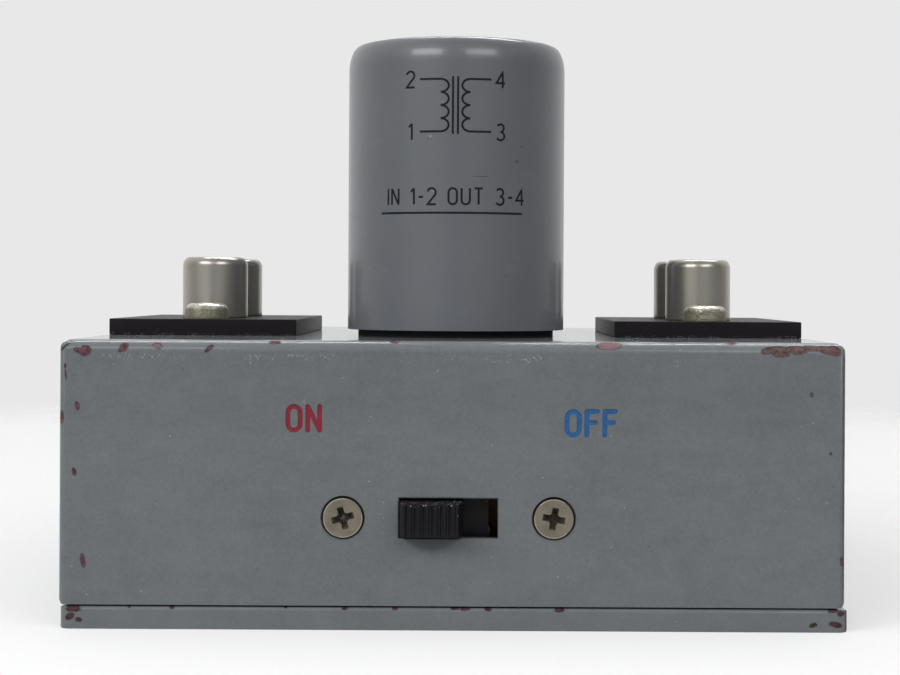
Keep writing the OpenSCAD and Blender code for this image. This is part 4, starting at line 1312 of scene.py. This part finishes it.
class STEPUP_OT_stage(bpy.types.Operator):
    """Floor, lamps, background and camera"""

    bl_idname = "stepup.stage"
    bl_label = "Stage"

    def execute(self, context):
        scene = context.scene
        settings = scene.step_up_stage
        scene.view_settings.view_transform = "Standard"
        self.floor(scene, settings)
        self.lamps(scene, settings)
        self.world(scene, settings)
        self.camera(scene, settings)
        return {"FINISHED"}

    def floor(self, scene, settings):
        """Round floor that fades into the background."""
        bm = bmesh.new()
        bmesh.ops.create_circle(bm, cap_ends=True, segments=96, radius=FLOOR_RADIUS)
        mesh = bpy.data.meshes.new("floor")
        bm.to_mesh(mesh)
        bm.free()
        floor = bpy.data.objects.new("floor", mesh)
        scene.collection.objects.link(floor)
        f = Finish("floor")
        far = f.vector("LENGTH", f.place(), out=1)
        _, seen = f.rays()
        ground = f.node("ShaderNodeBsdfPrincipled", None, {
            "Base Color": f.mix(seen, shade(settings.floor, 0.22), shade(settings.floor, 0.6)),
            "Roughness": 0.9,
            "Emission Color": f.mix(seen, (0.0, 0.0, 0.0), shade(settings.floor, 0.41)),
            "Emission Strength": 1.0,
        })
        clear = f.node("ShaderNodeBsdfTransparent")
        faded = f.node("ShaderNodeMixShader", None, {0: f.step(far, *FLOOR_FADE), 1: ground, 2: clear})
        f.node("ShaderNodeOutputMaterial", None, {"Surface": faded})
        mesh.materials.append(f.material)

    def lamps(self, scene, settings):
        """Soft lamps in front, two on each side: the outer ones never show in gloss."""
        level = settings.lamp_distance * math.cos(settings.lamp_rise)
        up = settings.lamp_distance * math.sin(settings.lamp_rise)
        for side in ("left", "side", "right", "far"):
            across = getattr(settings, side + "_angle")
            data = bpy.data.lights.new("lamp_" + side, "AREA")
            data.shape = "RECTANGLE"
            data.size, data.size_y = LAMP_SIZE
            data.energy = getattr(settings, side + "_power")
            lamp = bpy.data.objects.new("lamp_" + side, data)
            lamp.location = (level * math.sin(across), -level * math.cos(across), up)
            lamp.rotation_euler = (LAMP_AIM - lamp.location).to_track_quat("-Z", "Y").to_euler()
            lamp.visible_camera = False
            lamp.visible_glossy = side in ("left", "right")
            scene.collection.objects.link(lamp)

    def world(self, scene, settings):
        """Room that is brightest overhead and brighter from the left, and a plain pale background."""
        scene.world = bpy.data.worlds.new("room")
        scene.world.use_nodes = True
        f = Finish("room", scene.world.node_tree)
        x, y, z = f.axes(f.node("ShaderNodeTexCoord", out="Generated"))
        camera, seen = f.rays()
        level = settings.room + f.step(z, 0.0, 1.0) * settings.ceiling
        level = level + f.step(abs(x), 0.45, 1.0) * settings.walls
        sides = f.mix(f.step(x, 0.9, -0.7), (0.8, 0.8, 0.81), (1.0, 1.0, 1.0))
        light = f.node("ShaderNodeBackground", None, {"Color": sides, "Strength": level})
        # Mirrors see a lit wall in front on the left, the dark camera, a dimmer right and the pale back
        wall = f.step(x, -0.9, -0.7) * f.step(x, -0.12, -0.32)
        hidden = f.step(abs(x - 0.01), 0.18, 0.09)
        front = settings.dim + wall * 0.26 - hidden * 0.08 - f.step(x, 0.3, 0.8) * 0.2
        depth = front + f.step(y - x * 0.08 + z * 0.45, -0.25, 0.85) * (1.0 - front)
        # A lamp in the ceiling, behind the object, that only shows in glossy edges
        strip = f.step(abs(y - 0.36), 0.04, 0.02) * f.step(abs(x - 0.1), 0.42, 0.3) * f.step(z, 0.4, 0.6)
        bright = camera.most(depth + strip * settings.strip)
        plain = f.node("ShaderNodeBackground", None, {"Color": settings.back, "Strength": bright})
        both = f.node("ShaderNodeMixShader", None, {0: seen, 1: light, 2: plain})
        f.node("ShaderNodeOutputWorld", None, {"Surface": both})

    def camera(self, scene, settings):
        """Camera straight in front, a little above the case."""
        data = bpy.data.cameras.new("camera")
        data.sensor_width = 36.0
        data.lens = settings.lens
        data.shift_x, data.shift_y = CAMERA_SHIFT
        data.clip_start = 0.01
        camera = bpy.data.objects.new("camera", data)
        camera.location = CAMERA_PLACE
        turn = Matrix.Rotation(settings.roll, 4, "Y") @ Matrix.Rotation(math.radians(90), 4, "X")
        camera.rotation_euler = turn.to_euler()
        scene.collection.objects.link(camera)
        scene.camera = camera


class STEPUP_OT_inside(bpy.types.Operator):
    """Finishes of the CAD pieces that stay as they are"""

    bl_idname = "stepup.inside"
    bl_label = "Carried-over pieces"

    def execute(self, context):
        for node, made in NODES.items():
            if not made.hide_render and node != "base_plate":
                wear(node, slot_finish(SLOT_OF[node], context.scene))
        return {"FINISHED"}


class STEPUP_PT_panel(bpy.types.Panel):
    """Steps and settings of the dressing"""

    bl_label = "Step-up transformer"
    bl_space_type = "VIEW_3D"
    bl_region_type = "UI"
    bl_category = "Step-up"

    def draw(self, context):
        for operator in OPERATORS:
            self.layout.operator(operator.bl_idname)
        for name in GROUPS:
            box = self.layout.box()
            settings = getattr(context.scene, name)
            for key in settings.__annotations__:
                box.prop(settings, key)


GROUPS = {
    "step_up_paint": StepUpPaint,
    "step_up_words": StepUpWords,
    "step_up_print": StepUpPrint,
    "step_up_metals": StepUpMetals,
    "step_up_switch": StepUpSwitch,
    "step_up_stage": StepUpStage,
}
OPERATORS = (
    STEPUP_OT_stage,
    STEPUP_OT_case,
    STEPUP_OT_words,
    STEPUP_OT_base,
    STEPUP_OT_cans,
    STEPUP_OT_print,
    STEPUP_OT_plates,
    STEPUP_OT_jacks,
    STEPUP_OT_plate_screws,
    STEPUP_OT_switch,
    STEPUP_OT_screws,
    STEPUP_OT_inside,
)


def register():
    for group in GROUPS.values():
        bpy.utils.register_class(group)
    for name, group in GROUPS.items():
        setattr(bpy.types.Scene, name, bpy.props.PointerProperty(type=group))
    for made in (*OPERATORS, STEPUP_PT_panel):
        bpy.utils.register_class(made)


def unregister():
    for made in reversed((*OPERATORS, STEPUP_PT_panel)):
        bpy.utils.unregister_class(made)
    for name, group in reversed(GROUPS.items()):
        delattr(bpy.types.Scene, name)
        bpy.utils.unregister_class(group)


def main():
    register()
    for operator in OPERATORS:
        group, name = operator.bl_idname.split(".")
        getattr(getattr(bpy.ops, group), name)()


if __name__ == "__main__":
    main()
